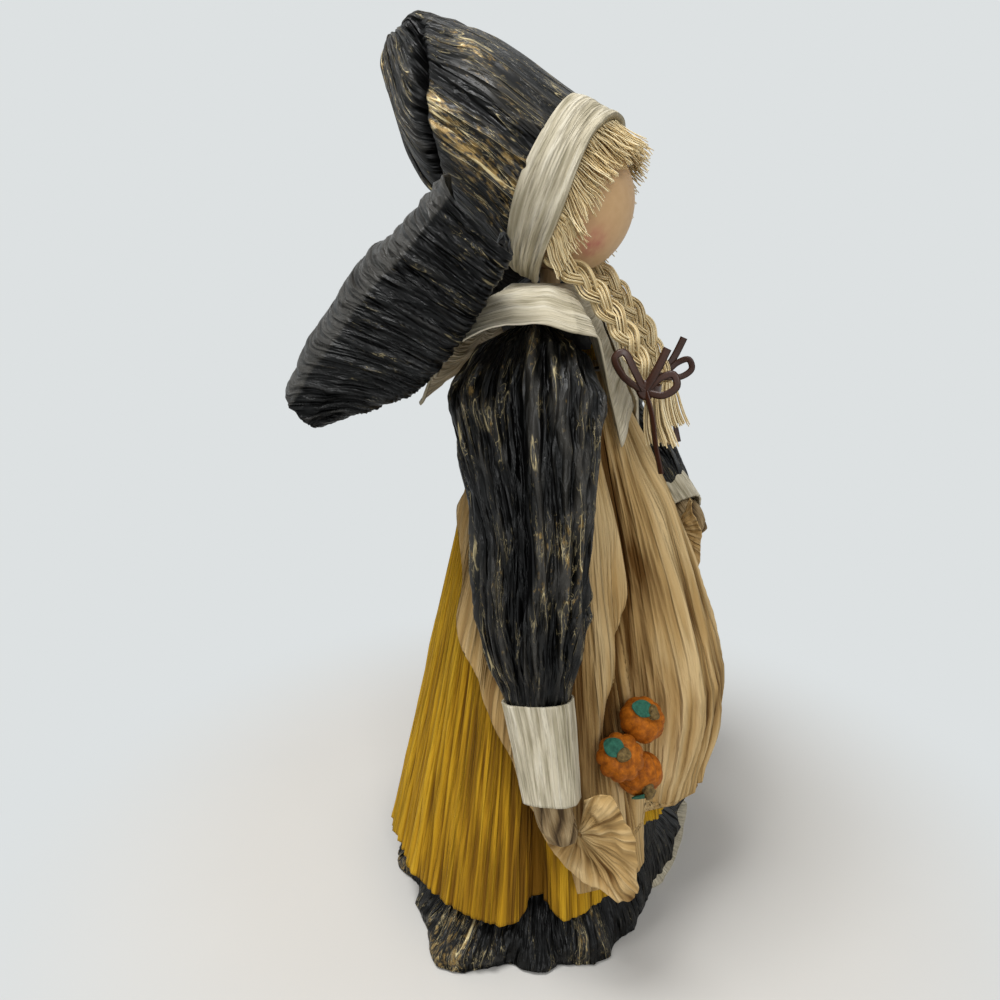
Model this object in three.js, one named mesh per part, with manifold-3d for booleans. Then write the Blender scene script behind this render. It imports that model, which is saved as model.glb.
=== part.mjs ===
// A paper twist figurine: crinkled paper ribbon wrapped and tied over a foam cone, with wired arms that hold
// up the corners of the apron. The figure faces -Y, its right hand is on -X and it stands on Z = 0.

import * as THREE from 'three';
import { mergeVertices } from 'three/addons/utils/BufferGeometryUtils.js';
import Module from 'manifold-3d';

const wasm = await Module();
wasm.setup();

// Driving dimensions, in millimetres and degrees.

// Fits and stock
const SEAT = 0.3; // gap between two pieces that touch
const PAPER = 1.2; // a doubled layer of crinkled ribbon
const WIRE_RADIUS = 1;

// Foam cone, dowel and rolled torso
const FOAM_HEIGHT = 232;
const FOAM_BASE_RADIUS = 55;
const FOAM_TOP_RADIUS = 20;
const DOWEL_RADIUS = 4;
const DOWEL_SINK = 60; // length inside the cone
const DOWEL_IN_HEAD = 22;
const TORSO_HEIGHT = 32;
const SHOULDER_HALF_WIDTH = 32;
const CHEST_HALF_DEPTH = 18;
const NECK_RADIUS = 13;

// Dress, lining and hem
const DRESS_OVERLAP = 8; // how far the dress reaches above the cone
const DRESS_HEM = 18; // height of its lower edge
const DRESS_EASE = 20; // how far the hem stands off the lining at the sides
const DRESS_PLEATS = 22;
const PLEAT_DEPTH = 3;
const DRESS_FRONT_RISE = 14; // how far the hem rises under the apron
const DEEP_FOLD_AZIMUTH = 75;
const DEEP_FOLD_WIDTH = 5;
const DEEP_FOLD_RISE = 14; // how far it lifts the hem
const PETTICOAT_TOP = 120;
const HEM_TOP = 40;
const HEM_WALL = 2;
const HEM_FLARE = 24; // how far the hem spreads on the floor at the sides
const HEM_FOLDS = 30;
const HEM_FOLD_DEPTH = 0.8;
const LIP_REACH = 28; // how far the lining pokes out under the hem at the front left
const LIP_WALL = 6; // its thickness, measured along the floor
const LIP_AZIMUTH = -37;
const LIP_WIDTH = 21;
const LIP_HEIGHT = 7;

// Apron
const APRON_OVERLAP = 4; // how far it reaches above the cone
const APRON_HEM = 24; // height of its lower edge
const APRON_BELLY = 21; // how far its front stands off the dress
const APRON_SIDE_LIP = 5; // how far its side edges stand off the dress
const APRON_FOLDS = 13;
const APRON_FOLD_DEPTH = 1.4;

// Collar
const COLLAR_OPENING = 16; // azimuth of the front edges
const COLLAR_POINT_DROP = 60; // from the neck down to the tips of its long front points

// Arms
const ARM_INSET = 1; // from the end of the shoulder in to where the arm's middle starts
const ARM_GAP = 3; // between a sleeve and the apron
const SLEEVE_HALF_DEPTH = 26;
const SLEEVE_HALF_THICKNESS = 14;
const SLEEVE_FOLDS = 6;
const WRIST_HALF_DEPTH = 10.5;
const WRIST_HALF_THICKNESS = 7.5;
const CUFF_LENGTH = 36;
const HAND_LENGTH = 17;
const HAND_HALF_WIDTH = 7.5;
const HAND_HALF_THICKNESS = 4.5;
const CORNER_FOLD_DEPTH = 1.2; // in the gathered corners of the apron

// Head, bonnet and hair
const HEAD_RADIUS = 26;
const HEAD_LIFT = 4; // between the torso and the head
const HEAD_FORWARD = 6;
const BAND_WALL = 1.6;
const BAND_END = 142; // degrees from the top to each lower end
const HAIR_THICKNESS = 3;
const HAIR_END = 122; // degrees from the top to each lower end
const FRINGE_LENGTH = 16; // past the band, above the face
const CHEEK_HAIR_LENGTH = 4; // past the band, at the cheeks
const BRAID_RADIUS = 5.5;
const TASSEL_LENGTH = 16;
const TASSEL_RADIUS = 6.2;
const RIBBON_WIDTH = 2.6;
const RIBBON_THICKNESS = 0.8;

// Bow behind the neck
const BOW_RIBBON_WIDTH = 97;
const BOW_ROOT_WIDTH = 25;
const BOW_HALF_SPAN = 82;
const BOW_RISE = 25; // from the ribbon's middle plane to the top of a loop
const BOW_SLOPE = 47; // degrees that the ribbon's width slopes down to the back
const KNOT_RADIUS = 7;

// Pumpkins
const PUMPKIN_RADIUS = 8.5;
const PUMPKIN_RIBS = 8;
const STEM_LENGTH = 4;
const STEM_RADIUS = 1.4;
const LEAF_THICKNESS = 0.6;

// Heights and radii that follow from them.

const { lerp, degToRad, smoothstep, clamp } = THREE.MathUtils;
const torsoBase = FOAM_HEIGHT + SEAT;
const neckHeight = torsoBase + TORSO_HEIGHT;
const shoulderHeight = torsoBase + 0.53 * TORSO_HEIGHT;
const apronTop = FOAM_HEIGHT + APRON_OVERLAP;
const head = new THREE.Vector3(0, -HEAD_FORWARD, neckHeight + HEAD_LIFT + HEAD_RADIUS);
const turn = 2 * Math.PI;
const vec = (x, y, z) => new THREE.Vector3(x, y, z);
const upright = vec(0, 0, 1);

// Azimuth is measured round the figure from its front towards its right side.
const polar = (azimuth, radius, z) => vec(-radius * Math.sin(azimuth), -radius * Math.cos(azimuth), z);
const steps = (count, from, to) => Array.from({ length: count + 1 }, (_, i) => lerp(from, to, i / count));
const around = (count) => Array.from({ length: count }, (_, i) => (turn * i) / count);

// A smooth bump that is 1 at the middle and about 0 past the width, in degrees.
function bump(azimuth, middle, width) {
  const away = THREE.MathUtils.euclideanModulo(azimuth - degToRad(middle) + Math.PI, turn) - Math.PI;
  return Math.exp(-((away / degToRad(width)) ** 2));
}

// Straight lines through a table of [place, value, value ...] rows.
function table(rows, place) {
  const at = clamp(place, rows[0][0], rows.at(-1)[0]);
  const next = Math.max(1, rows.findIndex((row) => row[0] >= at));
  const [low, high] = [rows[next - 1], rows[next]];
  const share = (at - low[0]) / (high[0] - low[0]);
  return low.slice(1).map((value, i) => lerp(value, high[i + 1], share));
}

// Solids from points.

function solid(points, triangles) {
  const signed = ([a, b, c]) => points[a].dot(points[b].clone().cross(points[c]));
  const volume = triangles.reduce((sum, triangle) => sum + signed(triangle), 0);
  const faces = volume > 0 ? triangles : triangles.map(([a, b, c]) => [a, c, b]);
  const geometry = new THREE.BufferGeometry().setFromPoints(points);
  geometry.setIndex(faces.flat());
  geometry.computeVertexNormals();
  return geometry;
}

// Skin over a row of rings, with flat ends, or closed on itself when the row is a loop.
function loft(rings, loop = false) {
  const count = rings[0].length;
  const points = rings.flat();
  const triangles = [];
  const spans = loop ? rings.length : rings.length - 1;
  for (let i = 0; i < spans; i++) {
    const here = i * count;
    const next = ((i + 1) % rings.length) * count;
    for (let j = 0; j < count; j++) {
      const k = (j + 1) % count;
      triangles.push([here + j, here + k, next + k], [here + j, next + k, next + j]);
    }
  }
  if (!loop) {
    for (const [ring, isFirst] of [[0, true], [rings.length - 1, false]]) {
      const centre = points.length;
      const middle = rings[ring].reduce((sum, p) => sum.add(p), vec(0, 0, 0)).divideScalar(count);
      points.push(middle);
      for (let j = 0; j < count; j++) {
        const a = ring * count + j;
        const b = ring * count + ((j + 1) % count);
        triangles.push(isFirst ? [b, a, centre] : [a, b, centre]);
      }
    }
  }
  return solid(points, triangles);
}

// A sheet of paper over a grid of points.
function sheet(grid, thickness) {
  const rows = grid.length;
  const columns = grid[0].length;
  const facing = (i, j) => {
    const along = grid[Math.min(i + 1, rows - 1)][j].clone().sub(grid[Math.max(i - 1, 0)][j]);
    const across = grid[i][Math.min(j + 1, columns - 1)].clone().sub(grid[i][Math.max(j - 1, 0)]);
    return along.cross(across).normalize();
  };
  const side = (offset) =>
    grid.flatMap((row, i) => row.map((p, j) => p.clone().addScaledVector(facing(i, j), offset)));
  const points = [...side(thickness / 2), ...side(-thickness / 2)];
  const back = rows * columns;
  const at = (i, j) => i * columns + j;
  const triangles = [];
  for (let i = 0; i + 1 < rows; i++) {
    for (let j = 0; j + 1 < columns; j++) {
      const [a, b, c, d] = [at(i, j), at(i + 1, j), at(i + 1, j + 1), at(i, j + 1)];
      triangles.push([a, b, c], [a, c, d], [back + a, back + c, back + b], [back + a, back + d, back + c]);
    }
  }
  const rim = [];
  for (let i = 0; i < rows; i++) rim.push(at(i, 0));
  for (let j = 1; j < columns; j++) rim.push(at(rows - 1, j));
  for (let i = rows - 2; i >= 0; i--) rim.push(at(i, columns - 1));
  for (let j = columns - 2; j > 0; j--) rim.push(at(0, j));
  rim.forEach((a, i) => {
    const b = rim[(i + 1) % rim.length];
    triangles.push([b, a, back + a], [b, back + a, back + b]);
  });
  return solid(points, triangles);
}

// A round rod along a curve.
function rod(curve, radius, sides, count) {
  const corner = (a) => new THREE.Vector2(radius * Math.cos(a), radius * Math.sin(a));
  const section = new THREE.Shape(around(sides).map(corner));
  return new THREE.ExtrudeGeometry(section, { extrudePath: curve, steps: count });
}

// Joins and cuts.

function toManifold(geometry) {
  const bare = geometry.clone();
  bare.deleteAttribute('normal');
  bare.deleteAttribute('uv');
  const merged = mergeVertices(bare, 1e-4);
  const vertProperties = new Float32Array(merged.attributes.position.array);
  const triVerts = new Uint32Array(merged.index.array);
  const mesh = new wasm.Mesh({ numProp: 3, vertProperties, triVerts });
  mesh.merge();
  return new wasm.Manifold(mesh);
}

function fromManifold(manifold) {
  const mesh = manifold.getMesh();
  const geometry = new THREE.BufferGeometry();
  geometry.setAttribute('position', new THREE.BufferAttribute(new Float32Array(mesh.vertProperties), 3));
  geometry.setIndex(new THREE.BufferAttribute(new Uint32Array(mesh.triVerts), 1));
  geometry.computeVertexNormals();
  return geometry;
}

function cut(geometry, ...tools) {
  return fromManifold(tools.reduce((rest, tool) => rest.subtract(toManifold(tool)), toManifold(geometry)));
}

function join(...geometries) {
  return fromManifold(geometries.map(toManifold).reduce((sum, next) => sum.add(next)));
}

// Layers round the cone, from the foam outwards.

const foamRadius = (z) => lerp(FOAM_BASE_RADIUS, FOAM_TOP_RADIUS, z / FOAM_HEIGHT);
const spread = (z) => Math.max(0, 1 - z / FOAM_HEIGHT); // 1 at the floor and 0 at the neck
const liningRadius = (z) => foamRadius(z) + SEAT + PAPER;
const pleatDepth = (z) => PLEAT_DEPTH * spread(z) ** 0.7;

const degreesFromFront = (azimuth) =>
  THREE.MathUtils.radToDeg(Math.atan2(Math.sin(azimuth), Math.cos(azimuth)));

// Degrees from the front, share of the ease: close to the cone under the apron, and fullest at the sides.
const DRESS_LINE = [
  [0, 0.15], [30, 0.2], [51, 0.45], [64, 0.7], [83, 0.97], [100, 1], [117, 0.88], [145, 0.75], [180, 0.75],
];
const dressEase = (azimuth, z) =>
  DRESS_EASE * spread(z) * table(DRESS_LINE, Math.abs(degreesFromFront(azimuth)))[0];

function dressInner(azimuth, z) {
  const fold = 1 - 0.6 * bump(azimuth, DEEP_FOLD_AZIMUTH, DEEP_FOLD_WIDTH);
  const pleat = pleatDepth(z) * (0.5 + 0.5 * Math.cos(DRESS_PLEATS * azimuth));
  return liningRadius(z) + SEAT + (dressEase(azimuth, z) + pleat) * fold;
}

const dressReach = (azimuth, z) => liningRadius(z) + SEAT + dressEase(azimuth, z) + pleatDepth(z) + PAPER;

function foamCone() {
  const bore = DOWEL_RADIUS + SEAT;
  const floor = FOAM_HEIGHT - DOWEL_SINK;
  const outside = [[0, 0], [FOAM_BASE_RADIUS, 0], [FOAM_TOP_RADIUS, FOAM_HEIGHT]];
  const profile = [...outside, [bore, FOAM_HEIGHT], [bore, floor], [0, floor]];
  return new THREE.LatheGeometry(profile.map(([r, z]) => new THREE.Vector2(r, z)), 40).rotateX(Math.PI / 2);
}

// A wall round the figure between two radii, over a row of heights.
function wall(points, shares, height, outer, inner) {
  const ring = (radius) => (share) => around(points).map((azimuth) => {
    const z = height(azimuth, share);
    return polar(azimuth, radius(azimuth, z), z);
  });
  return loft([...shares.map(ring(outer)), ...shares.toReversed().map(ring(inner))], true);
}

function dress() {
  const top = FOAM_HEIGHT + DRESS_OVERLAP;
  const height = (azimuth, share) => {
    const atFold = DEEP_FOLD_RISE * bump(azimuth, DEEP_FOLD_AZIMUTH, DEEP_FOLD_WIDTH);
    const inFront = DRESS_FRONT_RISE * bump(azimuth, 0, 40);
    return lerp(DRESS_HEM + atFold + inFront, top, share ** 1.2);
  };
  return wall(3 * DRESS_PLEATS, steps(5, 0, 1), height, (a, z) => dressInner(a, z) + PAPER, dressInner);
}

const HEM_POINTS = 3 * HEM_FOLDS;
const LINING_POINTS = 54;
const lipAt = (azimuth) => bump(azimuth, LIP_AZIMUTH, LIP_WIDTH);

function petticoat() {
  const height = (azimuth, share) => share * PETTICOAT_TOP;
  const low = (z) => clamp(1 - z / LIP_HEIGHT, 0, 1);
  const inner = (azimuth, z) => foamRadius(z) + SEAT + LIP_REACH * lipAt(azimuth) * low(z);
  const outer = (azimuth, z) => inner(azimuth, z) + PAPER + LIP_WALL * lipAt(azimuth) * low(z);
  return wall(LINING_POINTS, [0, LIP_HEIGHT / PETTICOAT_TOP, 1], height, outer, inner);
}

// Degrees from the front, share of the flare: close in front, in wide lobes at the sides and over the lip.
const HEM_LINE = [
  [-180, 0.5], [-150, 0.62], [-135, 0.45], [-115, 0.8], [-98, 1.1], [-85, 0.8], [-70, 1], [-55, 1.05],
  [-37, 1.15], [-26, 0.7], [-12, 0.36], [5, 0.11], [11, 0.1], [28, 0.24], [44, 0.48], [51, 0.6], [57, 0.8],
  [63, 0.76], [69, 0.61], [73, 0.78], [83, 0.73], [88, 0.95], [95, 1.17], [103, 1.15], [113, 0.73],
  [131, 0.43], [145, 0.55], [165, 0.4], [180, 0.5],
];

function hemBand() {
  const lifted = (azimuth) => (0.5 * LIP_HEIGHT + PAPER) * Math.min(1, 2 * lipAt(azimuth));
  const height = (azimuth, share) => lerp(lifted(azimuth), HEM_TOP, share);
  const below = (azimuth, z) => clamp((DRESS_HEM - z) / (DRESS_HEM - lifted(azimuth)), 0, 1);
  const inner = (azimuth, z) => {
    const folds = HEM_FOLD_DEPTH * (1 - Math.cos(HEM_FOLDS * azimuth));
    const flare = Math.max(0, HEM_FLARE * table(HEM_LINE, degreesFromFront(azimuth))[0] - folds);
    return liningRadius(z) + SEAT + flare * below(azimuth, z) ** 0.8;
  };
  const outer = (azimuth, z) => inner(azimuth, z) + lerp(PAPER, HEM_WALL, below(azimuth, z));
  return wall(HEM_POINTS, steps(3, 0, 1), height, outer, inner);
}

// The apron hangs as a sling: a belly in front, a valley on the right that holds the pumpkins, and side edges
// that are drawn up to the hands. Its tables run from the hem, 0, to the neck, 1.

const apronShare = (z) => (z - APRON_HEM) / (apronTop - APRON_HEM);
const apronHeight = (share) => lerp(APRON_HEM, apronTop, share);

const BELLY_LINE = [ // share of the belly
  [0, 0.02], [0.057, 0.04], [0.113, 0.08], [0.142, 0.2], [0.184, 0.34], [0.255, 0.66],
  [0.321, 0.9], [0.373, 1], [0.453, 0.96], [0.59, 0.8], [0.717, 0.55], [0.807, 0.31],
  [0.925, 0.08], [1, 0.01],
];
const APRON_RIGHT_EDGE = [ // azimuth
  [0, 49], [0.047, 63], [0.123, 66], [0.226, 77], [0.33, 86], [0.439, 97], [0.542, 106],
  [0.646, 112], [1, 100],
];
const APRON_LEFT_EDGE = [ // azimuth
  [0, 42], [0.042, 38], [0.09, 33], [0.127, 25], [0.146, -2], [0.179, -18], [0.255, -31],
  [0.406, -42], [0.594, -55], [0.712, -68], [0.854, -86], [1, -95],
];
const VALLEY = [27, 11]; // azimuth and width of the fold where the apron lies on the dress
const LIP_START = 0.19; // share of the apron's height over which its side edges come off the neck

function apronRadius(azimuth, z) {
  const degrees = degreesFromFront(azimuth);
  const front = smoothstep(degrees, -85, -8) * (1 - smoothstep(degrees, 14, 36));
  const sides = smoothstep(degrees, 62, 80) + smoothstep(-degrees, 70, 95);
  const folds = APRON_FOLD_DEPTH * (1 - Math.cos(2 * APRON_FOLDS * azimuth)) * spread(z) ** 0.3;
  const belly = APRON_BELLY * table(BELLY_LINE, apronShare(z))[0] * front;
  const lip = APRON_SIDE_LIP * sides * (1 - spread(z) ** 6) * smoothstep(1 - apronShare(z), 0, LIP_START);
  const fullest = dressReach(Math.PI / 2, z);
  const resting = lerp(fullest, dressReach(azimuth, z), bump(azimuth, ...VALLEY));
  const base = Math.max(resting, dressReach(azimuth, z));
  return base + 2 * SEAT + PAPER / 2 + belly + lip + folds * Math.max(front, sides, 0.2);
}

// How far the apron reaches out between two azimuths.
function apronReach(z, from, to) {
  return Math.max(...steps(20, from, to).map((degrees) => apronRadius(degToRad(degrees), z))) + PAPER / 2;
}

const APRON_ROWS = [1, 0.9, 0.79, 0.68, 0.57, 0.46, 0.36, 0.28, 0.21, 0.17, 0.14, 0.125, 0.085, 0.04, 0];

function apron() {
  const grid = APRON_ROWS.map((share) => {
    const z = apronHeight(share);
    const [left, right] = [APRON_LEFT_EDGE, APRON_RIGHT_EDGE].map((edge) => degToRad(table(edge, share)[0]));
    return steps(40, left, right).map((azimuth) => polar(azimuth, apronRadius(azimuth, z), z));
  });
  return sheet(grid, PAPER);
}

const NECK_WIRE_SIDES = 30;

function neckWire(tube) {
  const z = apronTop - 3 * WIRE_RADIUS;
  const radius = (apronReach(z, -110, 110) + 2 * SEAT + WIRE_RADIUS) / Math.cos(Math.PI / NECK_WIRE_SIDES);
  return new THREE.TorusGeometry(radius, tube, 6, NECK_WIRE_SIDES).translate(0, 0, z);
}

// The groove that the wire presses into paper that lies against it.
const wireGroove = () => neckWire(WIRE_RADIUS + SEAT);

// Torso, shoulder wire and dowel.

const TORSO_STATIONS = [ // share of its height, half width, half depth
  [0, FOAM_TOP_RADIUS - 2, FOAM_TOP_RADIUS - 3],
  [DRESS_OVERLAP / TORSO_HEIGHT, FOAM_TOP_RADIUS - 1.5, FOAM_TOP_RADIUS - 3],
  [0.375, lerp(FOAM_TOP_RADIUS, SHOULDER_HALF_WIDTH, 0.42), CHEST_HALF_DEPTH - 1],
  [0.53, SHOULDER_HALF_WIDTH, CHEST_HALF_DEPTH],
  [0.72, SHOULDER_HALF_WIDTH - 3, CHEST_HALF_DEPTH - 3],
  [0.875, lerp(NECK_RADIUS, SHOULDER_HALF_WIDTH, 0.37), NECK_RADIUS + 0.5],
  [1, NECK_RADIUS, NECK_RADIUS],
];
const shoulderWireBack = DOWEL_RADIUS + SEAT + WIRE_RADIUS;

function torsoShape(grow) {
  return loft(TORSO_STATIONS.map(([share, wide, deep]) => around(24).map((a) =>
    vec((wide + grow) * Math.sin(a), (deep + grow) * Math.cos(a), torsoBase + share * TORSO_HEIGHT))));
}

function shoulderWire(radius, overrun) {
  const end = (side) => vec(side * (SHOULDER_HALF_WIDTH + overrun), shoulderWireBack, shoulderHeight);
  return rod(new THREE.LineCurve3(end(-1), end(1)), radius, 8, 1);
}

function dowel(radius, from, to) {
  const stick = new THREE.CylinderGeometry(radius, radius, to - from, 16).rotateX(Math.PI / 2);
  return stick.translate(0, 0, (from + to) / 2);
}

function torso() {
  const bore = dowel(DOWEL_RADIUS + SEAT, FOAM_HEIGHT, neckHeight + SEAT);
  return cut(torsoShape(0), bore, shoulderWire(WIRE_RADIUS + SEAT, SEAT));
}

const dowelTop = head.z - HEAD_RADIUS + DOWEL_IN_HEAD;
const neckDowel = () => dowel(DOWEL_RADIUS, FOAM_HEIGHT - DOWEL_SINK + SEAT, dowelTop - SEAT);

// Collar: a square of paper over the shoulders, with two long points in front.

const COLLAR_EDGE = [ // azimuth, reach beyond the cone's top and drop below the neck of the outer edge
  [COLLAR_OPENING, 18, COLLAR_POINT_DROP - 7], [31, 22, COLLAR_POINT_DROP], [44, 24.6, 37], [54, 28.5, 18],
  [64, 35, 15], [90, 34, 18], [118, 35, 25], [140, 34, 40], [158, 23, 40], [180, 17, 36],
];
const COLLAR_NECK = NECK_RADIUS + 2 * PAPER;

function collarPoint(degrees, share) {
  const mirrored = degrees > 180 ? 360 - degrees : degrees;
  const [reach, drop] = table(COLLAR_EDGE, mirrored);
  const radius = lerp(COLLAR_NECK, FOAM_TOP_RADIUS + reach, share);
  const over = lerp(1.03, 1.5, smoothstep(mirrored, 45, 65) * (1 - smoothstep(mirrored, 130, 160)));
  return polar(degToRad(degrees), radius, neckHeight - drop * share ** over);
}

function collar() {
  const flat = sheet(steps(4, 0, 1).map((share) =>
    steps(36, COLLAR_OPENING, 360 - COLLAR_OPENING).map((degrees) => collarPoint(degrees, share))), PAPER);
  return cut(flat, wireGroove());
}

// Arms: a wire inside a puffed sleeve, a cuff and a hand of twisted paper.

// Place along the arm down to the cuff, then shares of the sleeve's half depth and half thickness.
const SLEEVE_SECTIONS = [
  [0, 0.35, 0.43], [0.07, 0.77, 0.79], [0.2, 1, 1], [0.38, 0.92, 1], [0.58, 0.77, 0.93], [0.77, 0.71, 0.89],
  [0.9, 0.62, 0.79], [1, 0.44, 0.61],
];
const SLEEVE_POINTS = 3 * SLEEVE_FOLDS;
const CREASE = 0.03;
const armRoot = SHOULDER_HALF_WIDTH - ARM_INSET;

// Drop below the shoulder, forward, and half thickness there. The right arm hangs close to the apron.
const hangingArm = [
  [2, 3, 2], [25, 4, 14], [71, 10, 13.5], [101, 12, 12.5], [127, 17, 8.5], [165, 22, 7.5], [183, 25, 7],
];
const rightArmPath = hangingArm.map(([drop, forward, half]) => {
  const z = shoulderHeight - drop;
  const clear = apronReach(Math.min(z, apronTop), 64, 112) + ARM_GAP + half;
  return vec(-Math.max(armRoot, clear), -forward, z);
});

// Reach beyond the cone's top, forward, and drop below the shoulder. The left arm is bent to the front.
const bentArm = [[35, 3, 32], [58, 8, 55], [67, 24, 72], [57, 40, 82], [45, 51, 90], [32, 62, 100]];
const leftArmPath = [vec(armRoot, -3, shoulderHeight - 2)].concat(bentArm.map(([reach, forward, drop]) =>
  vec(FOAM_TOP_RADIUS + reach, -forward, shoulderHeight - drop)));

function makeArm(path, wideAxis) {
  const curve = new THREE.CatmullRomCurve3(path);
  const frame = (share) => {
    const centre = curve.getPointAt(share);
    const along = curve.getTangentAt(share);
    const thick = wideAxis.clone().cross(along).normalize();
    return { centre, wide: along.clone().cross(thick), thick };
  };
  const ring = (share, wide, thick, count, folds = 0) => {
    const f = frame(share);
    return around(count).map((a) => {
      const crease = 1 + folds * Math.cos(SLEEVE_FOLDS * a);
      return f.centre.clone()
        .addScaledVector(f.wide, wide * crease * Math.cos(a))
        .addScaledVector(f.thick, thick * crease * Math.sin(a));
    });
  };
  return { curve, ring };
}

const backwards = vec(0, 1, 0);
const rightArm = makeArm(rightArmPath, backwards);
const leftArm = makeArm(leftArmPath, backwards);

// Places along an arm, counted back from the finger tips.
const fromTips = (arm, length) => 1 - length / arm.curve.getLength();
const cuffStart = (arm) => fromTips(arm, HAND_LENGTH + CUFF_LENGTH);
const cuffEnd = (arm) => fromTips(arm, HAND_LENGTH);

// The wire from the shoulder into the hand, or its bore, which is longer at both ends.
const WIRE_FROM = 0.04;
const wireEnd = (arm) => lerp(cuffEnd(arm), 1, 0.5);

function armWire(arm, radius, overrun) {
  const points = steps(16, WIRE_FROM, wireEnd(arm)).map((share) => arm.curve.getPointAt(share));
  points[0].addScaledVector(arm.curve.getTangentAt(WIRE_FROM), -overrun);
  points.at(-1).addScaledVector(arm.curve.getTangentAt(wireEnd(arm)), overrun);
  return rod(new THREE.CatmullRomCurve3(points), radius, 8, 16);
}

const wireBore = (arm) => armWire(arm, WIRE_RADIUS + SEAT, SEAT);

function sleeve(arm) {
  const start = cuffStart(arm);
  const rings = SLEEVE_SECTIONS.map(([share, wide, thick]) =>
    arm.ring(share * start, wide * SLEEVE_HALF_DEPTH, thick * SLEEVE_HALF_THICKNESS, SLEEVE_POINTS, CREASE));
  const inCuff = PAPER + SEAT;
  const wrist = steps(3, fromTips(arm, HAND_LENGTH + CUFF_LENGTH - SEAT), fromTips(arm, HAND_LENGTH + SEAT));
  const wristRings = wrist.map((share) =>
    arm.ring(share, WRIST_HALF_DEPTH - inCuff, WRIST_HALF_THICKNESS - inCuff, SLEEVE_POINTS));
  return cut(loft([...rings, ...wristRings]), wireBore(arm), torsoShape(SEAT), wireGroove());
}

function cuff(arm) {
  const shares = steps(3, fromTips(arm, HAND_LENGTH + CUFF_LENGTH - 2 * SEAT), cuffEnd(arm));
  const ring = (grow) => (share) =>
    arm.ring(share, WRIST_HALF_DEPTH + grow, WRIST_HALF_THICKNESS + grow, SLEEVE_POINTS);
  return loft([...shares.map(ring(0)), ...shares.toReversed().map(ring(-PAPER))], true);
}

// Place along the hand, then shares of its half width and half thickness.
const HAND_SECTIONS = [[0, 1, 1], [0.3, 0.93, 1], [0.7, 0.87, 0.9], [1, 0.53, 0.5]];

function hand(arm) {
  const from = cuffEnd(arm);
  const shape = loft(HAND_SECTIONS.map(([share, wide, thick]) =>
    arm.ring(lerp(from, 1, share), wide * HAND_HALF_WIDTH, thick * HAND_HALF_THICKNESS, 12)));
  return cut(shape, wireBore(arm));
}

// Gathered corners of the apron, each pinched at a hand.

function fan(centre, out, outline, folds) {
  const sideways = upright.clone().cross(out).normalize();
  const rim = new THREE.CatmullRomCurve3(outline.map(([side, up]) => vec(side, up, 0))).getPoints(4 * folds);
  return sheet(steps(4, 0.12, 1).map((share) => rim.map((p, j) => centre.clone()
    .addScaledVector(sideways, share * p.x)
    .addScaledVector(upright, share * p.y)
    .addScaledVector(out, CORNER_FOLD_DEPTH * share * Math.cos((turn * j) / 4)))), PAPER);
}

// The inner side of a hand, where it pinches the paper.
function pinch(arm, out) {
  const inwards = HAND_HALF_THICKNESS + SEAT + PAPER / 2;
  return arm.curve.getPointAt(lerp(cuffEnd(arm), 1, 0.55)).addScaledVector(out, -inwards);
}

function apronCornerRight() {
  const out = vec(-1, 0, 0);
  const centre = pinch(rightArm, out).add(vec(0, -6, 3));
  const outline = [[7, 17], [14, 12], [20, 3], [22, -10], [20, -25], [10, -21], [-1, -16], [-10, -12]];
  return fan(centre, out, outline, 5);
}

function apronCornerLeft() {
  const out = vec(0.66, -0.75, 0).normalize();
  const centre = pinch(leftArm, out).addScaledVector(out, -CORNER_FOLD_DEPTH - SEAT).add(vec(0, 0, -2));
  const outline = [[-5, 16], [-12, 8], [-15, -6], [-12, -22], [0, -28], [12, -22], [14, -8]];
  return fan(centre, out, outline, 4);
}

// Pumpkins: two seated in the apron's valley, one on both of them.

const PUMPKIN_PROFILE = [[0.45, -0.7], [0.85, -0.5], [1, 0], [0.9, 0.5], [0.5, 0.78]]; // shares of its radius
const pumpkinTop = PUMPKIN_PROFILE.at(-1)[1] * PUMPKIN_RADIUS;
const pumpkinRings = PUMPKIN_PROFILE.map(([out, up]) => around(2 * PUMPKIN_RIBS).map((a) => {
  const rib = 1 - 0.05 * (1 + Math.cos(PUMPKIN_RIBS * a));
  return vec(out * rib * Math.sin(a), out * rib * Math.cos(a), up).multiplyScalar(PUMPKIN_RADIUS);
}));

// Moves a pumpkin in towards the middle of the figure until it rests on the apron.
function seatInValley(degrees, share, turned) {
  const azimuth = degToRad(degrees);
  const seat = polar(azimuth, apronReach(APRON_HEM, -110, 110) + APRON_BELLY, apronHeight(share));
  const room = (p) => {
    const at = p.clone().applyQuaternion(turned).add(seat);
    return Math.hypot(at.x, at.y) - apronRadius(Math.atan2(-at.x, -at.y), at.z) - PAPER / 2;
  };
  for (let i = 0; i < 6; i++) {
    const nearest = Math.min(...pumpkinRings.flat().map(room));
    seat.addScaledVector(polar(azimuth, 1, 0), 2 * SEAT - nearest);
  }
  return seat;
}

const tipped = (x, y, z) => new THREE.Quaternion().setFromUnitVectors(upright, vec(x, y, z).normalize());
const top = { name: 'top', turned: tipped(-0.6, -0.35, 0.72) };
const middle = { name: 'middle', turned: tipped(-0.7, -0.2, 0.68) };
const low = { name: 'low', turned: tipped(-0.8, -0.55, -0.25) };
top.seat = seatInValley(38, 0.363, top.turned);
low.seat = seatInValley(42, 0.274, low.turned);
const halfApart = top.seat.distanceTo(low.seat) / 2;
const middleOut = Math.sqrt(Math.max(0, (2 * PUMPKIN_RADIUS) ** 2 - halfApart ** 2));
const outwards = vec(-0.86, 0.42, 0.12).normalize();
middle.seat = top.seat.clone().lerp(low.seat, 0.5).addScaledVector(outwards, middleOut);

const pumpkin = () => loft(pumpkinRings);

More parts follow.
